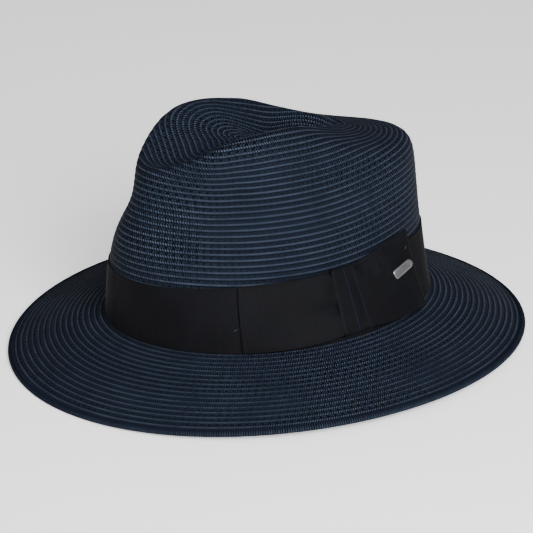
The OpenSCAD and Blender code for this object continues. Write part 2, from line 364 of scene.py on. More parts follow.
    def brim_top(self, a: Array, t: Array) -> Array:
        """Points of the brim's upper face.

        Args:
            a: Angles from the front, in degrees.
            t: Shares of the brim's reach, 0 at the crown and 1 at the edge.

        Returns:
            The points.
        """
        rad = np.radians(a)
        ox, oy = np.sin(rad) / self.base_x, -np.cos(rad) / self.base_y
        length = np.hypot(ox, oy)
        w = around(*self.reach, a) * t
        z = -around(*self.drop, a) * (t * (1 - self.brim_curl) + t * t * self.brim_curl)
        return np.stack(
            [self.base_x * np.sin(rad) + ox / length * w,
             -self.base_y * np.cos(rad) + oy / length * w, z * np.ones_like(w)], axis=-1)

    def brim_at(self, a: Array, t: Array, d: Array | float) -> Array:
        """Points at distance d above the brim's upper face.

        Args:
            a: Angles from the front, in degrees.
            t: Shares of the brim's reach.
            d: Distances, positive upward.

        Returns:
            The points.
        """
        a, t = np.broadcast_arrays(np.asarray(a, float), np.asarray(t, float))
        near = self.look_share
        out = self.brim_top(a, t + near) - self.brim_top(a, t - near)
        side = self.brim_top(a + self.look, t) - self.brim_top(a - self.look, t)
        return self.brim_top(a, t) + np.asarray(d)[..., None] * unit(np.cross(out, side))

    def edge_at(self, a: Array, back: Array, h: Array) -> Array:
        """Points of the folded edge.

        Args:
            a: Angles from the front, in degrees.
            back: Distances back from the tip of the edge, along the slope.
            h: Heights above the middle of the brim's thickness.

        Returns:
            The points.
        """
        return self.brim_at(a, 1 - back / self.brim_width(a), h - self.braid / 2)


@dataclass(frozen=True)
class Stand:
    """Where the middle of the crown's base lies in the shared frame, in millimetres."""

    shift: tuple[float, float, float]

    @classmethod
    def from_frame(cls, form: HatForm) -> "Stand":
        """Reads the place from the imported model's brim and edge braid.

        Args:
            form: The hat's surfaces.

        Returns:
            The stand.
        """
        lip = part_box("brim")[1].z / MM
        edge_low, edge_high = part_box("edge_braid")
        front = form.brim_at(np.array([0.0, HALF]), np.array([1.0, 1.0]), -form.braid / 2)
        middle = (edge_low.y + edge_high.y) / 2 / MM
        return cls((0.0, middle - float(front[:, 1].mean()), lip))

    def place(self, points: Array) -> Array:
        """Moves points into the shared frame.

        Args:
            points: Points round the middle of the crown's base.

        Returns:
            The points, still in millimetres.
        """
        return points + np.array(self.shift)


# ---------------------------------------------------------------- meshes


def link(obj: bpy.types.Object) -> bpy.types.Object:
    """Puts an object into the scene.

    Args:
        obj: The object.

    Returns:
        The same object.
    """
    bpy.context.scene.collection.objects.link(obj)
    return obj


def declare(obj: bpy.types.Object, node: str) -> None:
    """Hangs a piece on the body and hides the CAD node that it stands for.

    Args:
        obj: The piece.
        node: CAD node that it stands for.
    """
    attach(obj, BODY)
    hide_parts(node)


def faceted(name: str, points: Array, faces: list[tuple[int, ...]],
            finish: bpy.types.Material) -> bpy.types.Object:
    """Makes a mesh of flat faces.

    Args:
        name: Name of the object.
        points: Vertices, in millimetres of the shared frame.
        faces: Vertex numbers per face.
        finish: Its material.

    Returns:
        The new object, linked to the scene.
    """
    mesh = bpy.data.meshes.new(name)
    mesh.from_pydata((points * MM).tolist(), [], faces)
    mesh.update()
    mesh.materials.append(finish)
    return link(bpy.data.objects.new(name, mesh))


def make_object(name: str, points: Array, faces: Array, uv: Array | None = None,
                marks: dict[str, Array] | None = None) -> bpy.types.Object:
    """Makes a smooth quad mesh.

    Args:
        name: Name of the object.
        points: Vertices, in millimetres of the shared frame.
        faces: Four vertex numbers per face.
        uv: Two numbers per face corner.
        marks: Numbers per vertex, kept as attributes.

    Returns:
        The new object, linked to the scene.
    """
    mesh = bpy.data.meshes.new(name)
    mesh.vertices.add(len(points))
    mesh.vertices.foreach_set("co", (points * MM).astype(np.float32).ravel())
    mesh.loops.add(faces.size)
    mesh.loops.foreach_set("vertex_index", faces.astype(np.int32).ravel())
    mesh.polygons.add(len(faces))
    mesh.polygons.foreach_set("loop_start", np.arange(0, faces.size, 4, dtype=np.int32))
    mesh.polygons.foreach_set("use_smooth", np.ones(len(faces), dtype=bool))
    mesh.update(calc_edges=True)
    if uv is not None:
        layer = mesh.uv_layers.new(name="UVMap")
        layer.data.foreach_set("uv", uv.astype(np.float32).ravel())
    for key, values in (marks or {}).items():
        layer = mesh.attributes.new(key, "FLOAT", "POINT")
        layer.data.foreach_set("value", values.astype(np.float32).ravel())
    return link(bpy.data.objects.new(name, mesh))


def grid_faces(n: int, m: int, ring: bool, flip: bool = False) -> Array:
    """Faces of a grid of n lines of m points.

    Args:
        n: Number of lines.
        m: Points on each line.
        ring: True if the last line joins the first.
        flip: True to turn the faces over.

    Returns:
        Four vertex numbers per face.
    """
    i = np.arange(n if ring else n - 1)[:, None]
    j = np.arange(m - 1)[None, :]
    k = (i + 1) % n
    faces = np.stack([i * m + j, k * m + j, k * m + j + 1, i * m + j + 1], axis=-1).reshape(-1, 4)
    return faces[:, ::-1] if flip else faces


def corner_uv(u0: Array, u1: Array, v: Array, flip: bool = False) -> Array:
    """Corner coordinates that belong to grid_faces.

    Args:
        u0: First coordinate at each face's first line, as line by face.
        u1: First coordinate at its second line.
        v: Second coordinate of each point of a line.
        flip: True if the faces were turned over.

    Returns:
        Two numbers per face corner.
    """
    u0, u1, v0, v1 = np.broadcast_arrays(u0, u1, v[None, :-1], v[None, 1:])
    corners = [np.stack(pair, -1) for pair in ((u0, v0), (u1, v0), (u1, v1), (u0, v1))]
    made = np.stack(corners, axis=2).reshape(-1, 4, 2)
    return made[:, ::-1] if flip else made


def grid_normals(points: Array, ring: bool) -> Array:
    """Directions square to a grid's surface.

    Args:
        points: Points, as line by point.
        ring: True if the last line joins the first.

    Returns:
        Unit vectors, as line by point.
    """
    if ring:
        along = np.roll(points, -1, axis=0) - np.roll(points, 1, axis=0)
    else:
        along = np.gradient(points, axis=0)
    return unit(np.cross(along, np.gradient(points, axis=1)))


def smooth_join(target: bpy.types.Object, others: list[bpy.types.Object]) -> bpy.types.Object:
    """Joins meshes into one object.

    Args:
        target: The object that stays.
        others: Objects whose meshes move into it.

    Returns:
        The target.
    """
    bpy.ops.object.select_all(action="DESELECT")
    for obj in [target, *others]:
        obj.select_set(True)
    bpy.context.view_layer.objects.active = target
    bpy.ops.object.join()
    return target


# ---------------------------------------------------------------- node helpers


class Graph:
    """A small helper that adds and links nodes in one tree."""

    def __init__(self, tree: bpy.types.NodeTree) -> None:
        """Keeps the tree.

        Args:
            tree: The tree that the nodes go into.
        """
        self.tree = tree

    def node(self, kind: str, inputs: dict | None = None, **settings) -> bpy.types.Node:
        """Adds a node.

        Args:
            kind: Blender's name of the node's type.
            inputs: Values or output sockets for its inputs, by name or number.
            **settings: Properties of the node.

        Returns:
            The node.
        """
        made = self.tree.nodes.new(kind)
        for key, value in settings.items():
            setattr(made, key, value)
        self.feed(made, inputs or {})
        return made

    def feed(self, node: bpy.types.Node, inputs: dict) -> None:
        """Sets or links inputs of a node.

        Args:
            node: The node.
            inputs: Values or output sockets, by the input's name or number.
        """
        for key, value in inputs.items():
            if isinstance(value, bpy.types.NodeSocket):
                self.tree.links.new(value, node.inputs[key])
            else:
                node.inputs[key].default_value = value

    def corners(self) -> tuple[bpy.types.NodeSocket, bpy.types.NodeSocket]:
        """Reads the two corner coordinates.

        Returns:
            The first and the second.
        """
        at = self.node("ShaderNodeSeparateXYZ", {0: self.node("ShaderNodeUVMap").outputs[0]})
        return at.outputs[0], at.outputs[1]

    def noise(self, scale: float, detail: float,
              stretch: tuple[float, float, float] | None = None) -> bpy.types.NodeSocket:
        """Adds noise in the object's own coordinates.

        Args:
            scale: Scale of the noise.
            detail: Its detail.
            stretch: Scale of each axis, or none.

        Returns:
            The noise, between 0 and 1.
        """
        at = self.node("ShaderNodeTexCoord").outputs["Object"]
        if stretch is not None:
            at = self.node("ShaderNodeMapping", {"Vector": at, "Scale": stretch}).outputs[0]
        return self.node("ShaderNodeTexNoise",
                         {"Vector": at, "Scale": scale, "Detail": detail}).outputs[0]

    def bump(self, height, strength: float, distance: float) -> bpy.types.NodeSocket:
        """Adds a bump.

        Args:
            height: Output socket that gives its height.
            strength: Its strength.
            distance: Its depth, in millimetres.

        Returns:
            The new normal.
        """
        return self.node("ShaderNodeBump", {"Height": height, "Strength": strength,
                                            "Distance": distance * MM}).outputs[0]

    def math(self, operation: str, *values, clamp: bool = False) -> bpy.types.NodeSocket:
        """Adds a Math node.

        Args:
            operation: The node's operation.
            *values: Numbers or output sockets.
            clamp: True to keep the result between 0 and 1.

        Returns:
            The node's output.
        """
        made = self.node("ShaderNodeMath", dict(enumerate(values)), operation=operation)
        made.use_clamp = clamp
        return made.outputs[0]

    def ramp(self, value, low: float, high: float) -> bpy.types.NodeSocket:
        """A smooth rise from 0 to 1.

        Args:
            value: Output socket to read.
            low: Where the rise starts.
            high: Where it ends.

        Returns:
            The rise.
        """
        made = self.node("ShaderNodeMapRange", {0: value, 1: low, 2: high},
                         interpolation_type="SMOOTHSTEP")
        return made.outputs[0]

    def wave(self, phase) -> bpy.types.NodeSocket:
        """A wave between 0 and 1, highest where the phase is whole.

        Args:
            phase: Output socket that counts the waves.

        Returns:
            The wave.
        """
        turned = self.math("COSINE", self.math("MULTIPLY", phase, 2 * math.pi))
        return self.math("MULTIPLY_ADD", turned, 0.5, 0.5)

    def blend(self, share, a, b) -> bpy.types.NodeSocket:
        """Mixes two numbers.

        Args:
            share: Share of the second number.
            a: First number or output socket.
            b: Second number or output socket.

        Returns:
            The mixed number.
        """
        made = self.node("ShaderNodeMix", {0: share, 2: a, 3: b})
        return made.outputs[0]

    def tint(self, share, a, b) -> bpy.types.NodeSocket:
        """Mixes two colours.

        Args:
            share: Share of the second colour.
            a: First colour or output socket.
            b: Second colour or output socket.

        Returns:
            The mixed colour.
        """
        made = self.node("ShaderNodeMix", {0: share, 6: a, 7: b}, data_type="RGBA")
        return made.outputs[2]


@dataclass(frozen=True)
class Finish:
    """What every finish shares: a name and a Principled shader."""

    name: str

    def start(self) -> tuple[bpy.types.Material, Graph, bpy.types.Node]:
        """Makes an empty material.

        Returns:
            The material, its graph and its Principled shader.
        """
        made = bpy.data.materials.new(self.name)
        made.use_nodes = True
        shader = made.node_tree.nodes["Principled BSDF"]
        return made, Graph(made.node_tree), shader


@dataclass(frozen=True)
class BraidFinish(Finish):
    """Sewn paper braid: the first coordinate counts strands, the second counts rows."""

    # dark is the painted shade in the gaps between strands, mixed with the braid's grain.
    dark: Colour = (0.0003, 0.0004, 0.0010, 1)
    body: Colour = (0.0105, 0.0146, 0.0260, 1)
    # light is the colour of the painted highlights on the strands.
    light: Colour = (0.058, 0.073, 0.108, 1)
    # hole is the colour of the braid's dark openings, and also of the painted shade in the grooves
    # between rows.
    hole: Colour = (0.0002, 0.0003, 0.0006, 1)
    strands_per_hole: float = 3.0
    roughness: float = 0.62
    relief: float = 0.34
    slant_above: float = 1.5
    slant_below: float = -1.7
    row_offset: float = 0.37
    shine_above: float = 2.8
    shine_below: float = 0.22

    def material(self) -> bpy.types.Material:
        """Builds the material.

        Returns:
            The material.
        """
        made, g, shader = self.start()
        strand, row = g.corners()
        share, index = g.math("FRACT", row), g.math("FLOOR", row)
        lower = g.ramp(share, 0.50, 0.58)
        phase = g.blend(lower, g.math("MULTIPLY_ADD", share, self.slant_above, strand),
                        g.math("MULTIPLY_ADD", share, self.slant_below, strand))
        strand_top = g.math("POWER", g.wave(phase), 1.5)
        offset = g.math("MULTIPLY", index, self.row_offset)
        mesh = g.wave(g.math("ADD", g.math("DIVIDE", strand, self.strands_per_hole), offset))
        band = g.math("MULTIPLY", g.ramp(share, 0.56, 0.64), g.ramp(share, 0.92, 0.84))
        hole = g.math("MULTIPLY", band, g.ramp(mesh, 0.8, 0.98))
        # Painted shade in the groove between rows, where one row meets the next.
        groove_shade = g.math("MAXIMUM", g.ramp(share, 0.10, 0.0), g.ramp(share, 0.93, 1.0))
        patch, grain = g.noise(38.0, 3.0), g.noise(900.0, 2.0)
        # Painted light and shade: strand tops lighter and the gaps between strands darker, plus a
        # little real grain.
        tone = g.math("ADD", g.math("MULTIPLY", strand_top, 0.95), g.math("MULTIPLY", grain, 0.25))
        crest = g.math("MULTIPLY", g.ramp(share, 0.10, 0.26), g.ramp(share, 0.52, 0.36))
        cell = g.node("ShaderNodeCombineXYZ", {0: g.math("ROUND", phase),
                                               1: g.math("ADD", index, lower)})
        luck = g.node("ShaderNodeTexWhiteNoise", {"Vector": cell.outputs[0]},
                      noise_dimensions="2D").outputs["Value"]
        # Painted highlights: strand tops catch light along the crest of each row and, more weakly,
        # in the lower band.
        sparkle = g.math("MULTIPLY", g.math("POWER", strand_top, 1.6),
                         g.math("MULTIPLY_ADD", luck, 0.9, 0.45))
        shine = g.math("MULTIPLY", g.math("MULTIPLY", crest, sparkle), patch)
        lower_shine = g.math("MULTIPLY", g.math("MULTIPLY", band, sparkle), self.shine_below)
        colour = g.tint(lower_shine, g.tint(tone, self.dark, self.body), self.light)
        colour = g.tint(g.math("MULTIPLY", shine, self.shine_above, clamp=True), colour, self.light)
        colour = g.tint(g.math("MULTIPLY", groove_shade, 0.8), colour, self.hole)
        height = g.math("SUBTRACT", strand_top, g.math("MULTIPLY", hole, 1.4))
        height = g.math("ADD", height, g.math("MULTIPLY", grain, 0.35))
        g.feed(shader, {"Base Color": g.tint(hole, colour, self.hole),
                        "Normal": g.bump(height, 0.9, self.relief),
                        "Roughness": g.math("MULTIPLY_ADD", strand_top, -0.14, self.roughness),
                        "Specular IOR Level": 0.02})
        return made


@dataclass(frozen=True)
class RibbonFinish(Finish):
    """Grosgrain ribbon: the first coordinate counts ribs, the second runs across in millimetres."""

    dark: Colour = (0.0001, 0.0001, 0.0001, 1)
    light: Colour = (0.0068, 0.0069, 0.0090, 1)
    edge: Colour = (0.0040, 0.0041, 0.0052, 1)
    width: float = 37.0
    roughness: float = 0.5
    weft_per_mm: float = 2.6
    line_at: tuple[float, ...] = ()
    line: Colour = (0.008, 0.013, 0.030, 1)

    def material(self) -> bpy.types.Material:
        """Builds the material.

        Returns:
            The material.
        """
        made, g, shader = self.start()
        rib, across = g.corners()
        wave, weft = g.wave(rib), g.wave(g.math("MULTIPLY", across, self.weft_per_mm))
        cloud, fleck = g.noise(55.0, 4.0), g.noise(1400.0, 1.0)
        tone = g.math("ADD", g.math("MULTIPLY", wave, 0.75), g.math("MULTIPLY", fleck, 0.3))
        tone = g.math("ADD", tone, g.math("MULTIPLY_ADD", cloud, 0.5, -0.2))
        colour = g.tint(g.math("MULTIPLY", tone, 0.9, clamp=True), self.dark, self.light)
        near_edge = g.math("MINIMUM", across, g.math("SUBTRACT", self.width, across))
        selvedge = g.ramp(near_edge, 1.1, 0.5)
        colour = g.tint(g.math("MULTIPLY", selvedge, 0.55), colour, self.edge)
        side = g.node("ShaderNodeAttribute", attribute_name="side").outputs["Fac"]
        for place in self.line_at:
            gap = g.math("ABSOLUTE", g.math("SUBTRACT", side, place))
            colour = g.tint(g.math("MULTIPLY", g.ramp(gap, 0.5, 0.15), 0.5), colour, self.line)
        height = g.math("ADD", g.math("MULTIPLY", weft, 0.3), g.math("MULTIPLY", fleck, 0.2))
        height = g.math("ADD", height, g.math("MULTIPLY", wave, 0.5))
        g.feed(shader, {"Base Color": colour, "Normal": g.bump(height, 0.5, 0.06),
                        "Roughness": g.math("MULTIPLY_ADD", cloud, 0.14, self.roughness - 0.07),
                        "Specular IOR Level": 0.03, "Sheen Weight": 0.02,
                        "Sheen Roughness": 0.35, "Sheen Tint": (0.7, 0.72, 0.8, 1)})
        return made


@dataclass(frozen=True)
class TwillFinish(Finish):
    """Dark cotton twill of the sweatband, with diagonal ribs."""

    dark: Colour = (0.004, 0.005, 0.009, 1)
    light: Colour = (0.016, 0.019, 0.030, 1)
    pitch: float = 0.9

    def material(self) -> bpy.types.Material:
        """Builds the material.

        Returns:
            The material.
        """
        made, g, shader = self.start()
        wave = g.wave(g.math("DIVIDE", g.math("ADD", *g.corners()), self.pitch))
        cloud = g.noise(70.0, 4.0)
        tone = g.math("MULTIPLY_ADD", wave, 0.6, g.math("MULTIPLY", cloud, 0.4))
        g.feed(shader, {"Base Color": g.tint(tone, self.dark, self.light),
                        "Normal": g.bump(wave, 0.5, 0.1),
                        "Roughness": g.math("MULTIPLY_ADD", cloud, 0.2, 0.68),
                        "Specular IOR Level": 0.2, "Sheen Weight": 0.05})
        return made


@dataclass(frozen=True)
class MetalFinish(Finish):
    """Bare metal with a fine grain, drawn out along X and Y."""

    dark: Colour = (0.14, 0.14, 0.145, 1)
    light: Colour = (0.34, 0.34, 0.35, 1)
    roughness: float = 0.3
    grain: float = 2600.0
    stretch: tuple[float, float, float] = (0.06, 0.06, 1.0)

    def material(self) -> bpy.types.Material:
        """Builds the material.

        Returns:
            The material.
        """
        made, g, shader = self.start()
        brush, wear = g.noise(self.grain, 2.0, self.stretch), g.noise(240.0, 4.0)
        tone = g.math("MULTIPLY_ADD", brush, 0.5, g.math("MULTIPLY", wear, 0.5))
        g.feed(shader, {"Base Color": g.tint(tone, self.dark, self.light),
                        "Normal": g.bump(brush, 0.15, 0.02),
                        "Roughness": g.math("MULTIPLY_ADD", brush, 0.16, self.roughness - 0.05),
                        "Metallic": 1.0})
        return made


@dataclass(frozen=True)
class PlainFinish(Finish):
    """A smooth finish with a little variation: drawn nylon, thread or the floor."""

    dark: Colour = (0.6, 0.6, 0.58, 1)
    light: Colour = (0.8, 0.8, 0.78, 1)
    roughness: float = 0.35
    scale: float = 300.0
    relief: float = 0.02
    glow: float = 0.0

    def material(self) -> bpy.types.Material:
        """Builds the material.

        Returns:
            The material.
        """
        made, g, shader = self.start()
        cloud = g.noise(self.scale, 3.0)
        g.feed(shader, {"Base Color": g.tint(cloud, self.dark, self.light),
                        "Normal": g.bump(cloud, 0.2, self.relief),
                        "Roughness": g.math("MULTIPLY_ADD", cloud, 0.1, self.roughness - 0.05),
                        "Emission Color": (1, 1, 1, 1), "Emission Strength": self.glow})
        return made


@dataclass
class Wardrobe:
    """Every material of the hat, made once."""

    braid: bpy.types.Material = field(init=False)
    ribbon: bpy.types.Material = field(init=False)
    knot: bpy.types.Material = field(init=False)
    twill: bpy.types.Material = field(init=False)
    metal: bpy.types.Material = field(init=False)
    nylon: bpy.types.Material = field(init=False)
    thread: bpy.types.Material = field(init=False)

    def __post_init__(self) -> None:
        """Builds the materials."""
        self.braid = BraidFinish("navy_braid").material()
        self.ribbon = RibbonFinish("black_grosgrain").material()
        self.knot = RibbonFinish("knot_grosgrain", line_at=(10.5, 18.6)).material()
        self.twill = TwillFinish("sweatband_twill").material()
        self.metal = MetalFinish("bare_plate").material()
        self.nylon = PlainFinish("clear_nylon").material()
        self.thread = PlainFinish("black_thread", dark=(0.004, 0.004, 0.005, 1),
                                  light=(0.008, 0.008, 0.01, 1), roughness=0.6,
                                  scale=1500.0).material()


# ---------------------------------------------------------------- geometry nodes


class Relief(Enum):
    """How a geometry tree raises a surface."""

    ROWS = "braid_rows"
    RIBS = "ribbon_ribs"
    ROPE = "edge_rope"


ROW_PROFILE = ((0.0, 0.0), (0.08, 0.5), (0.22, 1.0), (0.38, 0.96), (0.52, 0.6), (0.68, 0.62),
               (0.86, 0.42), (1.0, 0.0))
WAVE_PROFILE = ((0.0, 1.0), (0.25, 0.5), (0.5, 0.0), (0.75, 0.5), (1.0, 1.0))


@dataclass
class ReliefTree:
    """A geometry tree that raises a surface along its normals by a marked coordinate."""

    kind: Relief
    curve: tuple[tuple[float, float], ...]
    tree: bpy.types.NodeTree = field(init=False)

    def __post_init__(self) -> None:
        """Builds the tree with its named inputs."""
        tree = bpy.data.node_groups.new(self.kind.value, "GeometryNodeTree")
        face = tree.interface
        for name, kind in (("Geometry", "Geometry"), ("Height", "Float"), ("Unevenness", "Float"),
                           ("Patch", "Float"), ("Seed", "Float"), ("Finish", "Material")):
            face.new_socket(name, in_out="INPUT", socket_type=f"NodeSocket{kind}")
        face.new_socket("Geometry", in_out="OUTPUT", socket_type="NodeSocketGeometry")
        g = Graph(tree)
        source = g.node("NodeGroupInput")
        mark = g.node("GeometryNodeInputNamedAttribute", {"Name": "step"}, data_type="FLOAT")
        share = g.math("FRACT", mark.outputs[0])
        profile = g.node("ShaderNodeFloatCurve", {"Value": share})
        line = profile.mapping.curves[0]
        for _ in range(len(self.curve) - 2):
            line.points.new(0.5, 0.5)
        for point, place in zip(line.points, self.curve):
            point.location = place
        profile.mapping.update()
        where = g.node("GeometryNodeInputPosition").outputs[0]
        noise = g.node("ShaderNodeTexNoise", {"Vector": where, "W": source.outputs["Seed"],
                                              "Scale": source.outputs["Patch"], "Detail": 2.0},
                       noise_dimensions="4D")
        uneven = g.math("MULTIPLY", g.math("SUBTRACT", noise.outputs[0], 0.5),
                        source.outputs["Unevenness"])
        shape = g.math("MULTIPLY", profile.outputs[0], g.math("ADD", 1.0, uneven))
        height = g.math("MULTIPLY", shape, source.outputs["Height"])
        normal = g.node("GeometryNodeInputNormal").outputs[0]
        offset = g.node("ShaderNodeVectorMath", {0: normal, "Scale": height}, operation="SCALE")
        moved = g.node("GeometryNodeSetPosition", {"Geometry": source.outputs["Geometry"],
                                                   "Offset": offset.outputs[0]})
        real = g.node("GeometryNodeRealizeInstances", {0: moved.outputs[0]})
        dressed = g.node("GeometryNodeSetMaterial", {"Geometry": real.outputs[0],
                                                     "Material": source.outputs["Finish"]})
        g.node("NodeGroupOutput", {0: dressed.outputs[0]})
        self.tree = tree

    def apply(self, obj: bpy.types.Object, finish: bpy.types.Material, height: float,
              unevenness: float = 0.0, patch: float = 60.0, seed: float = 1.0) -> bpy.types.Object:
        """Raises an object's surface and keeps the result as a plain mesh.

        Args:
            obj: Object whose mesh carries the attribute "step".
            finish: Material of the result.
            height: Height of the relief, in millimetres.
            unevenness: How much the height varies, as a share.
            patch: Scale of that variation.
            seed: Seed of that variation.

        Returns:
            The same object, with its new mesh.
        """
        modifier = obj.modifiers.new("relief", "NODES")
        modifier.node_group = self.tree
        values = {"Height": height * MM, "Unevenness": unevenness, "Patch": patch,
                  "Seed": seed, "Finish": finish}
        for item in self.tree.interface.items_tree:
            if item.item_type == "SOCKET" and item.in_out == "INPUT" and item.name in values:
                modifier[item.identifier] = values[item.name]
        graph = bpy.context.evaluated_depsgraph_get()
        mesh = bpy.data.meshes.new_from_object(
            obj.evaluated_get(graph), preserve_all_data_layers=True, depsgraph=graph)
        obj.modifiers.clear()
        old = obj.data
        obj.data = mesh
        bpy.data.meshes.remove(old)
        mesh.name = obj.name
        mesh.polygons.foreach_set("use_smooth", np.ones(len(mesh.polygons), dtype=bool))
        return obj


@dataclass
class Kit:
    """What every builder needs."""

    form: HatForm
    stand: Stand
    wardrobe: Wardrobe
    rows: ReliefTree
    ribs: ReliefTree
    rope: ReliefTree


# ---------------------------------------------------------------- braid


@dataclass
class BraidBody:
    """Crown, brim and folded edge, sewn from rows of one braid."""

    kit: Kit
    pitch: float = 3.6
    strand: float = 1.4
    ridge: float = 0.36
    rope_height: float = 0.24
    tuck: float = -0.012
    marks: tuple[float, ...] = (0.0, 0.08, 0.22, 0.38, 0.52, 0.68, 0.86)
    columns: int = 400
    split_row: int = 21
    top_row: int = 42
    tip_steps: int = 60
    group: int = 3
    least_groups: int = 2
    inside_columns: int = 240
    inside_tip_steps: int = 30
    inside_marks: int = 4
    inside_ridge: float = 0.4
    brim_rows: int = 17
    brim_columns: int = 480
    under_marks: tuple[float, ...] = (0.0, 0.22, 0.5, 0.78)
    under_columns: int = 360
    under_ridge: float = 0.8
    under_fold: float = 1.2
    rope_strands: int = 705
    per_strand: int = 4
    rope_turns: int = 9
    rope_twist: float = 0.8
    leg_back: tuple[float, ...] = (1.0, 0.75, 0.5)
    leg_rise: tuple[float, ...] = (0.62, 0.86, 1.0)
    rope_share: tuple[float, float] = (0.40, 0.12)

    def levels(self, first: int, last: int, marks: tuple[float, ...]) -> Array:
        """Row coordinates at which the grid has its points.

        Args:
            first: First row.
            last: Row after the last.
            marks: Places within each row.

        Returns:
            The coordinates.
        """
        rows = np.arange(first, last)[:, None] + np.array(marks)[None, :]
        return np.concatenate([rows.ravel(), [float(last)]])

    def strand_uv(self, points: Array, rows: Array, flip: bool = False) -> Array:
        """Corner coordinates with a whole number of strands round each row.

        Args:
            points: Points, as line by point.
            rows: Row coordinate of each point of a line.
            flip: True if the faces were turned over.

        Returns:
            Two numbers per face corner.
        """
        n = len(points)
        length = np.linalg.norm(np.roll(points, -1, axis=0) - points, axis=2).sum(axis=0)
        row = np.floor((rows[:-1] + rows[1:]) / 2)
        count = np.ones(len(row))
        for r in np.unique(row):
            pick = row == r
            groups = round(float(length[:-1][pick].mean()) / self.strand / self.group)
            count[pick] = self.group * max(self.least_groups, groups)
        i = np.arange(n)[:, None]
        return corner_uv(i / n * count[None, :], (i + 1) / n * count[None, :], rows, flip)

    def finish(self, obj: bpy.types.Object, node: str, seed: float, height: float) -> None:
        """Raises the rows and hands the piece to the frame.

        Args:
            obj: The piece.
            node: CAD node that it stands for.
            seed: Seed of the rows' unevenness.
            height: Height of the rows.
        """
        self.kit.rows.apply(obj, self.kit.wardrobe.braid, height, 0.45, 90.0, seed)
        declare(obj, node)

    def ring_piece(self, name: str, points: Array, rows: Array,
                   flip: bool = False) -> bpy.types.Object:
        """Makes one ring of rows.

        Args:
            name: Name of the piece.
            points: Points, as line by point, round the middle of the crown's base.
            rows: Row coordinate of each point of a line.
            flip: True to turn the faces over.

        Returns:
            The piece.
        """
        n, m = points.shape[:2]
        placed = self.kit.stand.place(points)
        return make_object(name, placed.reshape(-1, 3), grid_faces(n, m, True, flip),
                           self.strand_uv(points, rows, flip),
                           {"step": np.repeat(rows[None, :], n, axis=0)})

    def lines(self, columns: int, depth: float) -> tuple[Array, Array]:
        """Fine lines up the crown, on its outer face or inside it.

        Args:
            columns: Number of lines round the crown.
            depth: How far inside the outer face they lie.

        Returns:
            Points, as line by sample, and the distances from the base.
        """
        fine, run = self.kit.form.meridians(ring_angles(columns))
        return (fine - depth * grid_normals(fine, True) if depth else fine), run

    def crown_grid(self, columns: int, levels: Array, depth: float) -> Array:
        """Points of the crown at distances along its wall.

        Args:
            columns: Number of lines round the crown.
            levels: Distances from the base, in millimetres.
            depth: How far inside the outer face the points lie.

        Returns:
            Points, as line by level.
        """
        return np.stack([at_distance(line, run, levels)
                         for line, run in zip(*self.lines(columns, depth))])

    def tip_grid(self, columns: int, start: float, steps: int,
                 depth: float) -> tuple[Array, Array]:
        """Points of the crown's tip, from one level up to its middle.

        Args:
            columns: Number of lines round the crown.
            start: Distance from the base where the tip starts.
            steps: Steps to the middle.
            depth: How far inside the outer face the points lie.

        Returns:
            Points and row coordinates, both as line by step.
        """
        fine, run = self.lines(columns, depth)
        at = [np.linspace(start, far[-1], steps + 1) for far in run]
        made = np.stack([at_distance(*each) for each in zip(fine, run, at)])
        rows = np.stack(at) / self.pitch
        made[:, -1] = made[:, -1].mean(axis=0)
        rows[:, -1] = rows[:, -1].mean()
        return made, rows

    def build_tip(self, name: str, columns: int, steps: int, depth: float,
                  flip: bool) -> bpy.types.Object:
        """Makes the tip of the crown.

        Args:
            name: Name of the piece.
            columns: Number of lines round the crown.
            steps: Steps to the middle.
            depth: How far inside the outer face it lies.
            flip: True to turn the faces over.

        Returns:
            The piece.
        """
        points, rows = self.tip_grid(columns, self.top_row * self.pitch, steps, depth)
        n, m = points.shape[:2]
        uv = self.strand_uv(points, rows.mean(axis=0), flip)
        order = grid_faces(n, m, True, flip)
        uv[..., 1] = rows.ravel()[order]
        return make_object(name, self.kit.stand.place(points).reshape(-1, 3), order, uv,
                           {"step": rows})

    def crown(self) -> None:
        """Builds the crown's outside, in three rings, and its inside."""
        for name, first, last, seed in (("crown_wall_low", 0, self.split_row, 1.0),
                                        ("crown_wall_high", self.split_row, self.top_row, 2.0)):
            rows = self.levels(first, last, self.marks)
            points = self.crown_grid(self.columns, rows * self.pitch, 0.0)
            self.finish(self.ring_piece(name, points, rows), "crown", seed, self.ridge)
        tip = self.build_tip("crown_tip", self.columns, self.tip_steps, 0.0, False)
        self.finish(tip, "crown", 3.0, self.ridge)
        rows = np.arange(0, self.top_row * self.inside_marks + 1) / self.inside_marks
        depth = self.kit.form.braid
        points = self.crown_grid(self.inside_columns, rows * self.pitch, depth)
        inside = self.ring_piece("crown_inside", points, rows, True)
        cap = self.build_tip("crown_inside_tip", self.inside_columns, self.inside_tip_steps, depth,
                             True)
        smooth_join(inside, [cap])
        self.finish(inside, "crown", 4.0, -self.ridge * self.inside_ridge)

    def brim(self) -> None:
        """Builds the brim's two faces."""
        form = self.kit.form
        for name, marks, columns, depth, flip, seed, ridge in (
                ("brim_top", self.marks, self.brim_columns, 0.0, True, 5.0, 1.0),
                ("brim_under", self.under_marks, self.under_columns, -form.braid, False, 6.0,
                 self.under_ridge)):
            a = ring_angles(columns)
            rows = self.levels(0, self.brim_rows, marks)
            end = 1 - (form.edge_width - self.under_fold) / form.brim_width(a)
            t = self.tuck + (rows / self.brim_rows)[None, :] * (end[:, None] - self.tuck)
            points = form.brim_at(a[:, None], t, depth)
            self.finish(self.ring_piece(name, points, rows, flip), "brim", seed, self.ridge * ridge)

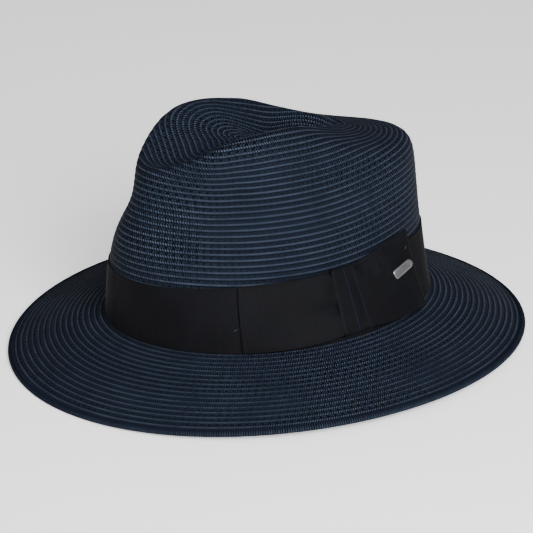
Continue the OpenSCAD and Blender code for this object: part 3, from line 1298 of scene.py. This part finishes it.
    def edge(self) -> None:
        """Builds the last row, folded over the brim's edge like a rope."""
        form = self.kit.form
        a = ring_angles(self.rope_strands * self.per_strand)
        half = form.braid / 2 + form.slit + form.edge_leg - self.rope_height / 2
        turn = np.radians(np.linspace(-QUARTER, QUARTER, self.rope_turns))
        leg, side = form.edge_width * np.array(self.leg_back), half * np.array(self.leg_rise)
        back = np.concatenate([leg, half - half * np.cos(turn), leg[::-1]])
        rise = np.concatenate([-side, half * np.sin(turn), side[::-1]])
        points = form.edge_at(a[:, None], back[None, :], rise[None, :])
        run = running(np.hypot(np.diff(back), np.diff(rise)))
        n, m = points.shape[:2]
        count = np.arange(n + 1)[:, None] / self.per_strand
        first, span = self.rope_share
        piece = make_object("edge_braid_rope", self.kit.stand.place(points).reshape(-1, 3),
                            grid_faces(n, m, True),
                            corner_uv(count[:-1], count[1:], first + span * run / run[-1]),
                            {"step": count[:-1] + run[None, :] / self.strand * self.rope_twist})
        self.kit.rope.apply(piece, self.kit.wardrobe.braid, self.rope_height, 0.3, 200.0, 7.0)
        declare(piece, "edge_braid")


# ---------------------------------------------------------------- ribbon


@dataclass
class RibbonShop:
    """Makes strips of ribbon with ribs, two faces and closed edges."""

    kit: Kit
    thick: float = 0.6
    rib: float = 0.95
    per_rib: int = 4
    rib_height: float = 0.2

    def strip(self, name: str, middle: Array, ribs: Array, across: Array, ring: bool = False,
              thick: float | None = None) -> bpy.types.Object:
        """Makes a closed strip round a middle surface.

        Args:
            name: Name of the piece.
            middle: Points of the middle surface, as line by point.
            ribs: Rib count at each point.
            across: Distance across the ribbon at each point of a line.
            ring: True if the strip closes on itself.
            thick: Thickness, or the ribbon's own.

        Returns:
            The piece.
        """
        t = self.thick if thick is None else thick
        normal = grid_normals(middle, ring)
        n, m = middle.shape[:2]
        front = middle + normal * t / 2
        back = middle - normal * t / 2
        loop = np.concatenate([front, back[:, ::-1]], axis=1)
        mark = np.concatenate([ribs, ribs[:, ::-1]], axis=1)
        wide = np.broadcast_to(across, (n, m))
        runs = np.concatenate([wide, wide[:, ::-1]], axis=1)
        k = 2 * m
        i = np.arange(n if ring else n - 1)[:, None]
        j = np.arange(k)[None, :]
        i2, j2 = (i + 1) % n, (j + 1) % k
        faces = np.stack([i * k + j, i2 * k + j, i2 * k + j2, i * k + j2], -1).reshape(-1, 4)
        if not ring:
            j = np.arange(m - 1)
            start = np.stack([j, j + 1, k - 2 - j, k - 1 - j], -1)
            last = (n - 1) * k
            end = np.stack([last + k - 1 - j, last + k - 2 - j, last + j + 1, last + j], -1)
            faces = np.concatenate([faces, start, end])
        uv = np.stack([mark.ravel()[faces], runs.ravel()[faces]], -1)
        if ring:
            jump = uv[..., 0].max(axis=1) - uv[..., 0].min(axis=1) > mark.max() / 2
            turned = uv[jump][..., 0]
            turned[turned < mark.max() / 2] += round(float(mark.max()))
            uv[jump, :, 0] = turned
        return make_object(name, self.kit.stand.place(loop.reshape(-1, 3)), faces, uv,
                           {"step": mark})

    def hand_over(self, obj: bpy.types.Object, node: str, finish: bpy.types.Material, seed: float,
                  flat: tuple[float, float], held: str, rests_on: list[str],
                  height: float | None = None, slot: str = "grosgrain") -> None:
        """Args:
            obj: The piece.
            node: CAD node that it stands for.
            finish: Its material.
            seed: Seed of the ribs' unevenness.
            flat: Width and length it was cut to, in millimetres. Not used.
            held: How it is held. Not used.
            rests_on: What it lies on. Not used.
            height: Height of the ribs, or the ribbon's own.
            slot: Name of a material slot. Not used.
        """
        self.kit.ribs.apply(obj, finish, self.rib_height if height is None else height,
                            0.6, 300.0, seed)
        declare(obj, node)


@dataclass
class RibbonWork:
    """The hatband and the flat bow on the wearer's left."""

    kit: Kit
    shop: RibbonShop
    width: float = 37.0
    low: float = 0.5
    knot_angle: float = 96.0
    knot_width: float = 21.0
    loop_length: float = 65.0
    tail_length: float = 48.0
    tail_wing: float = 5.0
    tail_slant: float = 7.0
    bow_low: float = 0.8
    gather_low: float = 2.6
    tail_rise: float = 9.0
    bow_puff: float = 2.2
    tail_puff: float = 1.2
    room: float = 0.2
    butt: float = 0.3
    band_gap: float = 0.05
    band_edge: float = 0.22
    band_across: tuple[float, ...] = (0, 0.012, 0.03, 0.1, 0.22, 0.36, 0.5, 0.64, 0.78, 0.9, 0.97,
                                      0.988, 1.0)
    bow_across: tuple[float, ...] = (0, 0.015, 0.035, 0.07, 0.12, 0.18, 0.24, 0.3, 0.36, 0.42,
                                     0.48, 0.54, 0.6, 0.66, 0.72, 0.78, 0.84, 0.89, 0.93, 0.965,
                                     0.985, 1.0)
    knot_corner: float = 1.4
    knot_bulge: float = 0.55
    knot_roll: float = 0.5

    @property
    def side_degree(self) -> float:
        """Length of one degree beside the knot."""
        return self.kit.form.base_y * math.pi / HALF

    @property
    def half_knot(self) -> float:
        """Half the knot's width, in degrees."""
        return self.knot_width / 2 / self.side_degree

    @property
    def loop_end(self) -> float:
        """Angle of the front loop's fold."""
        return self.knot_angle - self.half_knot - self.loop_length / self.side_degree

    @property
    def tail_end(self) -> float:
        """Angle of the tail's end."""
        return self.knot_angle + self.half_knot + self.tail_length / self.side_degree

    @property
    def gathered(self) -> float:
        """How far the bow's lower edge is pulled up at the knot."""
        return self.gather_low - self.bow_low

    def along_tail(self, a: Array) -> Array:
        """Share of the tail that lies between the knot and an angle.

        Args:
            a: Angles from the front, in degrees.

        Returns:
            The shares, 0 at the knot and 1 at the tail's end.
        """
        start = self.knot_angle + self.half_knot
        return np.clip((a - start) / (self.tail_end - start), 0.0, 1.0)

    def wing(self, a: Array) -> Array:
        """How far the tail stands off the crown, which curves away under it.

        Args:
            a: Angles from the front, in degrees.

        Returns:
            The distances.
        """
        return self.tail_wing * self.along_tail(a) ** 2

    @property
    def layer_in(self) -> float:
        """Distance from the wall at which the bow's inner layer starts."""
        return self.kit.form.fit + 2 * (self.shop.thick + self.room)

    @property
    def knot_in(self) -> float:
        """Distance from the wall of the knot's inner face."""
        return self.layer_in + 2 * self.shop.thick + self.bow_puff + self.room

    def high(self, a: Array) -> Array:
        """Height of the bow's upper edge.

        Args:
            a: Angles from the front, in degrees.

        Returns:
            The heights above the crown's base.
        """
        return self.width + self.tail_rise * self.along_tail(a) ** 1.3

    def lift(self, a: Array, end: float, puff: float) -> Array:
        """Rise of the outer layer over the inner one.

        Args:
            a: Angles from the front, in degrees.
            end: Angle of the piece's fold.
            puff: Extra rise halfway.

        Returns:
            The rises.
        """
        reach = abs(self.knot_angle - end) - self.half_knot - 2
        f = np.clip(np.abs(a - end) / reach, 0.0, 1.0)
        gap = self.shop.thick + self.room
        return gap + (self.bow_puff + self.shop.thick - gap) * f + puff * np.sin(np.pi * f)

    def hatband(self) -> None:
        """Builds the ribbon round the crown."""
        form = self.kit.form
        start, end = self.knot_angle + self.butt, self.knot_angle + FULL - self.butt
        rough = np.linspace(start, end, 721)
        line = form.wall(rough, np.full_like(rough, self.width / 2), form.fit)
        run = running(np.linalg.norm(np.diff(line, axis=0), axis=1))
        count = int(run[-1] / self.shop.rib)
        at = np.linspace(0.0, run[-1], count * self.shop.per_rib + 1)
        a = np.interp(at, run, rough)
        v = self.low + (self.width - self.low) * np.array(self.band_across)
        rise = self.band_edge * bell(v - self.width, 0.8) + self.band_edge * bell(v - self.low, 0.8)
        d = form.fit + self.shop.thick / 2 + self.band_gap + rise[None, :] * 0.5
        middle = form.wall(a[:, None], v[None, :], d)
        ribs = np.repeat((np.arange(len(a)) / self.shop.per_rib)[:, None], len(v), axis=1)
        piece = self.shop.strip("hatband_ribbon", middle, ribs, v)
        self.shop.hand_over(piece, "hatband", self.kit.wardrobe.ribbon, 11.0,
                            (self.width, float(run[-1])), "stretched", ["crown_wall_low"])
        LOG.info("hatband: %.0f mm of ribbon", run[-1])

    def folded(self, start: float, end: float, puff: float, ribs_per_mm: float,
               shape) -> tuple[Array, Array, Array]:
        """Middle surface of a ribbon folded back on itself.

        Args:
            start: Angle of the open end, under the knot.
            end: Angle of the fold.
            puff: Extra rise halfway along the outer layer.
            ribs_per_mm: Ribs in a millimetre.
            shape: Function of angles, shares across and layer that gives heights and an extra
                distance from the wall and a shift in angle.

        Returns:
            Points, rib counts and distances across.
        """
        away = 1.0 if end > start else -1.0
        length = abs(end - start) * self.side_degree
        count = int(length * ribs_per_mm * self.shop.per_rib)
        mid = self.layer_in + self.shop.thick / 2
        r = (self.shop.thick + self.room) / 2
        outer_a = np.linspace(start, end, count)
        outer_d = mid + self.lift(outer_a, end, puff)
        w = np.radians(np.linspace(20, 160, 8))
        fold_a = end + away * r * np.sin(w) / self.side_degree
        fold_d = mid + r + r * np.cos(w)
        inner_a = outer_a[::-1]
        inner_d = np.full(count, mid)
        a = np.concatenate([outer_a, fold_a, inner_a])
        d = np.concatenate([outer_d, fold_d, inner_d])
        layer = np.concatenate([np.ones(count), 0.5 + 0.5 * np.cos(w), np.zeros(count)])
        across = np.array(self.bow_across)
        heights, extra, shift = shape(a[:, None], across[None, :], layer[:, None])
        middle = self.kit.form.wall(a[:, None] + shift, heights, d[:, None] + extra)
        steps = running(np.abs(np.diff(a)) * self.side_degree + np.abs(np.diff(d)))
        ribs = np.repeat((steps * ribs_per_mm)[:, None], len(across), axis=1)
        if away > 0:
            middle, ribs, across = middle[:, ::-1], ribs[:, ::-1], across[::-1]
        return middle, ribs, across * self.width

    def loop(self) -> None:
        """Builds the front loop, gathered at the knot."""
        def shape(a: Array, q: Array, layer: Array) -> tuple[Array, Array, Array]:
            """Heights, extra distances from the wall and shifts in angle."""
            near = (self.knot_angle - self.half_knot - a) * self.side_degree
            low = self.bow_low + self.gathered * np.exp(-np.maximum(near, 0) / 13.0)
            high = self.width - 2.4 * np.exp(-np.maximum(near, 0) / 3.0) * layer
            v = low + (high - low) * q
            crease = bell(v - 17.0, 1.7) * np.exp(-np.maximum(near, 0) / 11.0)
            swell = bell(q - 0.7, 0.22) * bell(near - 11.0, 9.0) * 1.3
            roll = -0.5 * (bell(q, 0.035) + bell(q - 1, 0.035))
            past = (a - self.loop_end) * self.side_degree
            fray = 0.13 * np.sin(v * 1.9) * bell(past, 1.6)
            slant = (1.3 - 3.5 * q) * np.exp(-np.abs(past) / 18.0)
            return v, layer * (swell - 2.2 * crease + roll * 0.5), fray + slant
        middle, ribs, across = self.folded(self.knot_angle - 1, self.loop_end, 0.5,
                                           1 / self.shop.rib, shape)
        piece = self.shop.strip("bow_front_loop", middle, ribs, across)
        self.shop.hand_over(piece, "bow_loop", self.kit.wardrobe.ribbon, 12.0,
                            (self.width - self.bow_low,
                             2 * (self.loop_length + self.knot_width / 2)),
                            "folded", ["hatband_ribbon"])

    def tail(self) -> None:
        """Builds the rear tail, which fans up and is pleated along its top."""
        start = self.knot_angle + self.half_knot

        def shape(a: Array, q: Array, layer: Array) -> tuple[Array, Array, Array]:
            """Heights, extra distances from the wall and shifts in angle."""
            far = self.along_tail(a)
            near = np.maximum(a - start, 0.0) * self.side_degree
            low = self.bow_low + self.gathered * np.exp(-near / 11.0)
            high = self.high(a) + 0.22 * np.abs(np.sin(near * math.pi / 1.9)) * layer
            v = low + (high - low) * q
            top = high - v
            first = 2.2 + 2.0 * far
            second = 5.0 + 13.0 * far
            open_end = smooth_step(0.0, 0.22, 1 - far)
            pleat = -1.7 * smooth_step(-0.35, 0.35, first - top) - 1.5 * smooth_step(
                -0.35, 0.35, second - top) * smooth_step(0.02, 0.2, far)
            wave = 0.3 * np.sin(near / 6.0 + v / 9.0) * far
            roll = -0.3 * bell(q, 0.035)
            extra = layer * ((pleat + wave + 0.9) * open_end + roll) + self.wing(a)
            return v, extra, far**2 * (self.tail_slant * q - 1.0)
        middle, ribs, across = self.folded(self.knot_angle + 1, self.tail_end, self.tail_puff,
                                           1 / self.shop.rib, shape)
        piece = self.shop.strip("bow_rear_tail", middle, ribs, across)
        self.shop.hand_over(piece, "bow_tail", self.kit.wardrobe.ribbon, 13.0,
                            (self.width, 2 * (self.tail_length + self.knot_width / 2)),
                            "folded", ["hatband_ribbon"])

    def backing(self) -> None:
        """Builds the stiffening strip behind the bow."""
        form = self.kit.form
        a = np.linspace(self.loop_end + 2, self.tail_end - 2, 500)
        v = np.linspace(self.gather_low, self.width - 1, 9)
        middle = form.wall(a[:, None], v[None, :],
                           form.fit + self.shop.thick * 1.5 + self.room)
        step = np.abs(a - a[0]) * self.side_degree / self.shop.rib
        ribs = np.repeat(step[:, None], len(v), axis=1)
        piece = self.shop.strip("bow_backing_strip", middle, ribs, v)
        self.shop.hand_over(piece, "bow_backing", self.kit.wardrobe.ribbon, 14.0,
                            (float(v[-1] - v[0]), float(step[-1] * self.shop.rib)),
                            "laid", ["hatband_ribbon"])

    def knot(self) -> None:
        """Builds the knot, a ribbon wrapped over the bow from top to bottom."""
        thick = self.shop.thick
        low, high = self.gather_low - self.room - thick / 2, self.width + self.room + thick / 2
        far, near = self.knot_in + thick / 2, self.layer_in
        r = self.knot_corner
        arc = np.radians(np.linspace(0, QUARTER, 8))
        flat = np.linspace(low + r, high - r, 120)[1:-1]
        d = np.concatenate([np.linspace(near, far - r, 8)[:-1], far - r + r * np.sin(arc),
                            np.full(len(flat), far), far - r + r * np.cos(arc),
                            np.linspace(far - r, near, 8)[1:]])
        v = np.concatenate([np.full(7, low), low + r - r * np.cos(arc), flat,
                            high - r + r * np.sin(arc), np.full(7, high)])
        run = running(np.hypot(np.diff(d), np.diff(v)))
        a = np.linspace(self.knot_angle - self.half_knot, self.knot_angle + self.half_knot, 88)
        side = (a - self.knot_angle) / self.half_knot
        share = (v - low) / (high - low)
        bulge = (self.knot_bulge * np.sin(np.pi * np.clip(share, 0, 1))[None, :]
                 * (1 - side[:, None] ** 2))
        roll = -self.knot_roll * smooth_step(0.86, 1.0, np.abs(side))[:, None]
        lean = share[None, :] - 0.5
        points = self.kit.form.wall(a[:, None] + lean, np.broadcast_to(v, (len(a), len(v))),
                                    d[None, :] + (bulge + roll) * (d > far - 0.1)[None, :])
        across = (a - a[0]) * self.side_degree
        ribs = (across[:, None] * 0.8 + run[None, :] * 0.62) / self.shop.rib
        piece = self.shop.strip("bow_knot_wrap", points, ribs, run)
        side_mm = np.repeat(across[:, None], 2 * len(run), axis=1)
        mark = piece.data.attributes.new("side", "FLOAT", "POINT")
        mark.data.foreach_set("value", side_mm.astype(np.float32).ravel())
        self.shop.hand_over(piece, "bow_knot", self.kit.wardrobe.knot, 15.0,
                            (self.knot_width, float(run[-1])), "folded",
                            ["bow_front_loop", "bow_rear_tail"])

    def build(self) -> None:
        """Builds the hatband and every piece of the bow."""
        self.hatband()
        self.backing()
        self.loop()
        self.tail()
        self.knot()


# ---------------------------------------------------------------- inside


@dataclass
class Lining:
    """The sweatband and its seam tape."""

    kit: Kit
    shop: RibbonShop
    height: float = 34.0
    thick: float = 0.8
    tape_width: float = 14.0
    tape_thick: float = 0.5
    slit: float = 0.1
    columns: int = 480
    levels: tuple[float, ...] = (0, 0.02, 0.05, 0.2, 0.4, 0.6, 0.8, 0.9, 0.925, 0.94, 0.955, 0.97,
                                 1.0)

    def build(self) -> None:
        """Builds the sweatband and the tape."""
        form = self.kit.form
        out = -form.braid - form.fit
        a = ring_angles(self.columns)
        v = self.height * np.array(self.levels)
        middle = form.wall(a[:, None], v[None, :], out - self.thick / 2)
        run = running(np.linalg.norm(np.diff(middle[:, 0], axis=0), axis=1))
        ribs = np.repeat(run[:, None], len(v), axis=1)
        piece = self.shop.strip("sweatband_cloth", middle, ribs, v, True, self.thick - 0.1)
        self.shop.hand_over(piece, "sweatband", self.kit.wardrobe.twill, 21.0,
                            (self.height, float(run[-1])), "stretched", ["crown_inside"], 0.0,
                            "sweat_cloth")
        half = self.tape_width / 2 / (form.base_x * math.pi / HALF)
        a = np.linspace(HALF - half, HALF + half, 60)
        v = np.linspace(0, self.height, 12)
        d = out - self.thick - self.slit - self.tape_thick / 2
        middle = form.wall(a[:, None], v[None, :], d)
        step = (a - a[0]) / (2 * half) * self.tape_width / self.shop.rib
        ribs = np.repeat(step[:, None], len(v), axis=1)
        tape = self.shop.strip("sweatband_seam_tape", middle, ribs, v, False, self.tape_thick)
        self.shop.hand_over(tape, "sweatband_tape", self.kit.wardrobe.ribbon, 22.0,
                            (self.tape_width, self.height), "laid", ["sweatband_cloth"], 0.04)


# ---------------------------------------------------------------- trim


@dataclass
class Trim:
    """The bare plate, the tacks and the hidden wire."""

    kit: Kit
    ribbon: RibbonWork
    length: float = 16.0
    width: float = 5.6
    thick: float = 1.0
    behind: float = 50.0
    level: float = 25.5
    tilt: float = 16.0
    stand_off: float = 1.5
    prong_reach: float = 5.0
    prong_depth: float = 2.2
    prong_turn: float = 1.6
    prong_thick: float = 0.3
    prong_width: float = 1.0
    corner: float = 0.9
    bevel: tuple[tuple[float, float], ...] = (
        (0.0, 0.0), (0.0, 0.62), (0.12, 0.84), (0.38, 0.97), (0.7, 1.0), (0.95, 0.93), (1.3, 0.93))

    def plate(self) -> None:
        """Builds the bevelled plate on the tail."""
        form, work = self.kit.form, self.ribbon
        at = work.knot_angle + self.behind / work.side_degree
        a, v = np.array([at]), np.array([self.level])
        rear, front = (form.wall(a + side, v, work.wing(a + side)) for side in (1, -1))
        rear = unit((rear - front)[0])
        climb = (form.wall(a, v + 1, 0.0) - form.wall(a, v - 1, 0.0))[0]
        out = unit(np.cross(rear, climb))
        up = np.cross(out, rear)
        lift = float(work.lift(a, work.tail_end, work.tail_puff)[0])
        seat = work.layer_in + work.shop.thick + lift + self.stand_off + float(work.wing(a)[0])
        c, s = math.cos(math.radians(self.tilt)), math.sin(math.radians(self.tilt))
        x_axis, y_axis = rear * c + up * s, up * c - rear * s
        r = self.width / 2
        turn = np.radians(np.linspace(-QUARTER, QUARTER, 17))
        half, cut = self.length / 2, self.corner
        outline = [(half - r + r * math.cos(w), r * math.sin(w)) for w in turn]
        outline += [(-half + cut, r), (-half, r - cut), (-half, -r + cut), (-half + cut, -r)]
        ring = np.array(outline)
        points = []
        for inset, rise in self.bevel:
            grown = ring - np.sign(ring) * np.minimum(np.abs(ring), inset)
            points.append(np.column_stack([grown, np.full(len(ring), rise * self.thick)]))
        local = np.concatenate(points)
        seat_point = form.wall(a, v, seat)[0]
        world = seat_point + local[:, :1] * x_axis + local[:, 1:2] * y_axis + local[:, 2:] * out
        k, last = len(ring), len(self.bevel) - 1
        faces = [tuple(range(k - 1, -1, -1))]
        for low in range(0, last * k, k):
            for i in range(k):
                j = (i + 1) % k
                faces.append((low + i, low + j, low + k + j, low + k + i))
        faces.append(tuple(range(last * k, (last + 1) * k)))
        plate = faceted("bare_plate", self.kit.stand.place(world), faces, self.kit.wardrobe.metal)
        for polygon in plate.data.polygons:
            polygon.use_smooth = len(polygon.vertices) == 4
        declare(plate, "badge_plate")
        self.prongs(seat_point, x_axis, y_axis, out)

    def prongs(self, seat: Array, along: Array, up: Array, out: Array) -> None:
        """Builds the two prongs that hold the plate, clinched behind the tail's front layer.

        Args:
            seat: Middle of the plate's back face.
            along: Direction along the plate.
            up: Direction across it.
            out: Direction away from the crown.
        """
        points, faces = [], []
        for side in (-1.0, 1.0):
            root = seat + along * side * self.prong_reach
            bend = root - out * self.prong_depth
            tip = bend - along * side * self.prong_turn
            path = (root, bend + out * 0.2, bend, bend - along * side * 0.3, tip)
            for spot, flat in zip(path, (along, along, along + out, out, out)):
                thin = unit(flat) * self.prong_thick / 2
                wide = up * self.prong_width / 2
                points += [spot - thin - wide, spot + thin - wide, spot + thin + wide,
                           spot - thin + wide]
            base = len(points) - 4 * len(path)
            for ring in range(len(path) - 1):
                for i in range(4):
                    j = (i + 1) % 4
                    k = base + 4 * ring
                    faces.append((k + i, k + j, k + 4 + j, k + 4 + i))
            last = base + 4 * (len(path) - 1)
            faces += [(base + 3, base + 2, base + 1, base), (last, last + 1, last + 2, last + 3)]
        obj = faceted("plate_prongs", self.kit.stand.place(np.array(points)), faces,
                      self.kit.wardrobe.metal)
        declare(obj, "badge_prongs")

    def kept_nodes(self, nodes: dict[str, bpy.types.Object]) -> None:
        """Gives the CAD nodes that stay their materials.

        Args:
            nodes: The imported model's nodes.
        """
        for name, finish in (("edge_wire", self.kit.wardrobe.nylon),
                             ("wire_sleeve", self.kit.wardrobe.metal),
                             ("tack_stitches", self.kit.wardrobe.thread)):
            nodes[name].data.materials.clear()
            nodes[name].data.materials.append(finish)


# ---------------------------------------------------------------- studio


@dataclass
class Studio:
    """Camera, lights and floor."""

    kit: Kit
    azimuth: float = 60.0
    elevation: float = 22.45
    roll: float = -1.275
    distance: float = 1500.0
    lens_ratio: float = 4.597373358348968
    target: tuple[float, float, float] = (-1.139, -11.062, 30.0)
    aim: float = 0.07
    sky: float = 0.24
    floor_side: float = 6000.0

    def camera(self) -> None:
        """Sets the camera in front of the hat's left, a little above it."""
        az, el, roll = (math.radians(x) for x in (self.azimuth, self.elevation, self.roll))
        back = np.array([math.sin(az) * math.cos(el), -math.cos(az) * math.cos(el), math.sin(el)])
        right = np.array([math.cos(az), math.sin(az), 0.0])
        up = np.cross(back, right)
        look = np.array([0.0, 0.0, self.target[2]]) + right * self.target[0] + up * self.target[1]
        eye = self.kit.stand.place(look + back * self.distance) * MM
        x_axis = right * math.cos(roll) + up * math.sin(roll)
        y_axis = -right * math.sin(roll) + up * math.cos(roll)
        data = bpy.data.cameras.new("camera")
        camera = link(bpy.data.objects.new("camera", data))
        turned = np.column_stack([x_axis, y_axis, back, eye])
        camera.matrix_world = Matrix([*turned.tolist(), (0, 0, 0, 1)])
        data.lens = self.lens_ratio * data.sensor_width
        data.clip_start, data.clip_end = 0.05, 50.0
        bpy.context.scene.camera = camera

    def lamp(self, name: str, azimuth: float, elevation: float, distance: float, size: float,
             power: float) -> None:
        """Adds a soft square light that faces the hat.

        Args:
            name: Name of the light.
            azimuth: Direction it comes from, in degrees, counted as the camera's.
            elevation: Height above the horizon, in degrees.
            distance: Distance from the hat, in metres.
            size: Side of the square, in metres.
            power: Power, in watts.
        """
        az, el = math.radians(azimuth), math.radians(elevation)
        back = Vector((math.sin(az) * math.cos(el), -math.cos(az) * math.cos(el), math.sin(el)))
        data = bpy.data.lights.new(name, "AREA")
        data.shape = "SQUARE"
        data.size, data.energy = size, power
        lamp = link(bpy.data.objects.new(name, data))
        lamp.location = back * distance + Vector((0, 0, self.aim))
        lamp.rotation_mode = "QUATERNION"
        lamp.rotation_quaternion = (-back).to_track_quat("-Z", "Y")

    def build(self) -> None:
        """Sets the camera, the lights, the floor and the surroundings."""
        self.camera()
        self.lamp("key", 76, 30, 1.5, 0.6, 48.0)
        self.lamp("top", 60, 70, 1.7, 1.0, 6.0)
        self.lamp("fill", 120, 20, 2.2, 0.8, 2.0)
        self.lamp("rear", 235, 45, 1.8, 0.8, 3.0)
        world = bpy.data.worlds.new("studio")
        bpy.context.scene.world = world
        world.use_nodes = True
        back = world.node_tree.nodes["Background"]
        back.inputs[0].default_value = (1.0, 1.0, 1.0, 1)
        back.inputs[1].default_value = self.sky
        side = self.floor_side
        pale = PlainFinish("pale_floor", dark=(0.86, 0.86, 0.86, 1), light=(0.9, 0.9, 0.9, 1),
                           roughness=0.8, scale=3.0, glow=0.6)
        corners = np.array([(-side, -side, 0), (side, -side, 0), (side, side, 0), (-side, side, 0)])
        faceted("floor", corners, [(0, 1, 2, 3)], pale.material())


def main(frame: dict) -> None:
    """Builds every piece in order.
    """
    logging.basicConfig(level=logging.INFO, format="%(name)s: %(message)s")
    form = HatForm()
    stand = Stand.from_frame(form)
    LOG.info("crown base stands at %s mm", np.round(stand.shift, 3))
    kit = Kit(form, stand, Wardrobe(), ReliefTree(Relief.ROWS, ROW_PROFILE),
              ReliefTree(Relief.RIBS, WAVE_PROFILE), ReliefTree(Relief.ROPE, WAVE_PROFILE))
    body = BraidBody(kit)
    body.crown()
    LOG.info("crown done")
    body.brim()
    body.edge()
    LOG.info("brim and edge done")
    shop = RibbonShop(kit)
    work = RibbonWork(kit, shop)
    work.build()
    LOG.info("ribbon and bow done")
    Lining(kit, shop).build()
    LOG.info("sweatband done")
    trim = Trim(kit, work)
    trim.plate()
    trim.kept_nodes(frame["nodes"])
    LOG.info("trim done")
    Studio(kit).build()
    LOG.info("studio done")


if __name__ == "__main__":
    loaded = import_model()
    main(loaded)
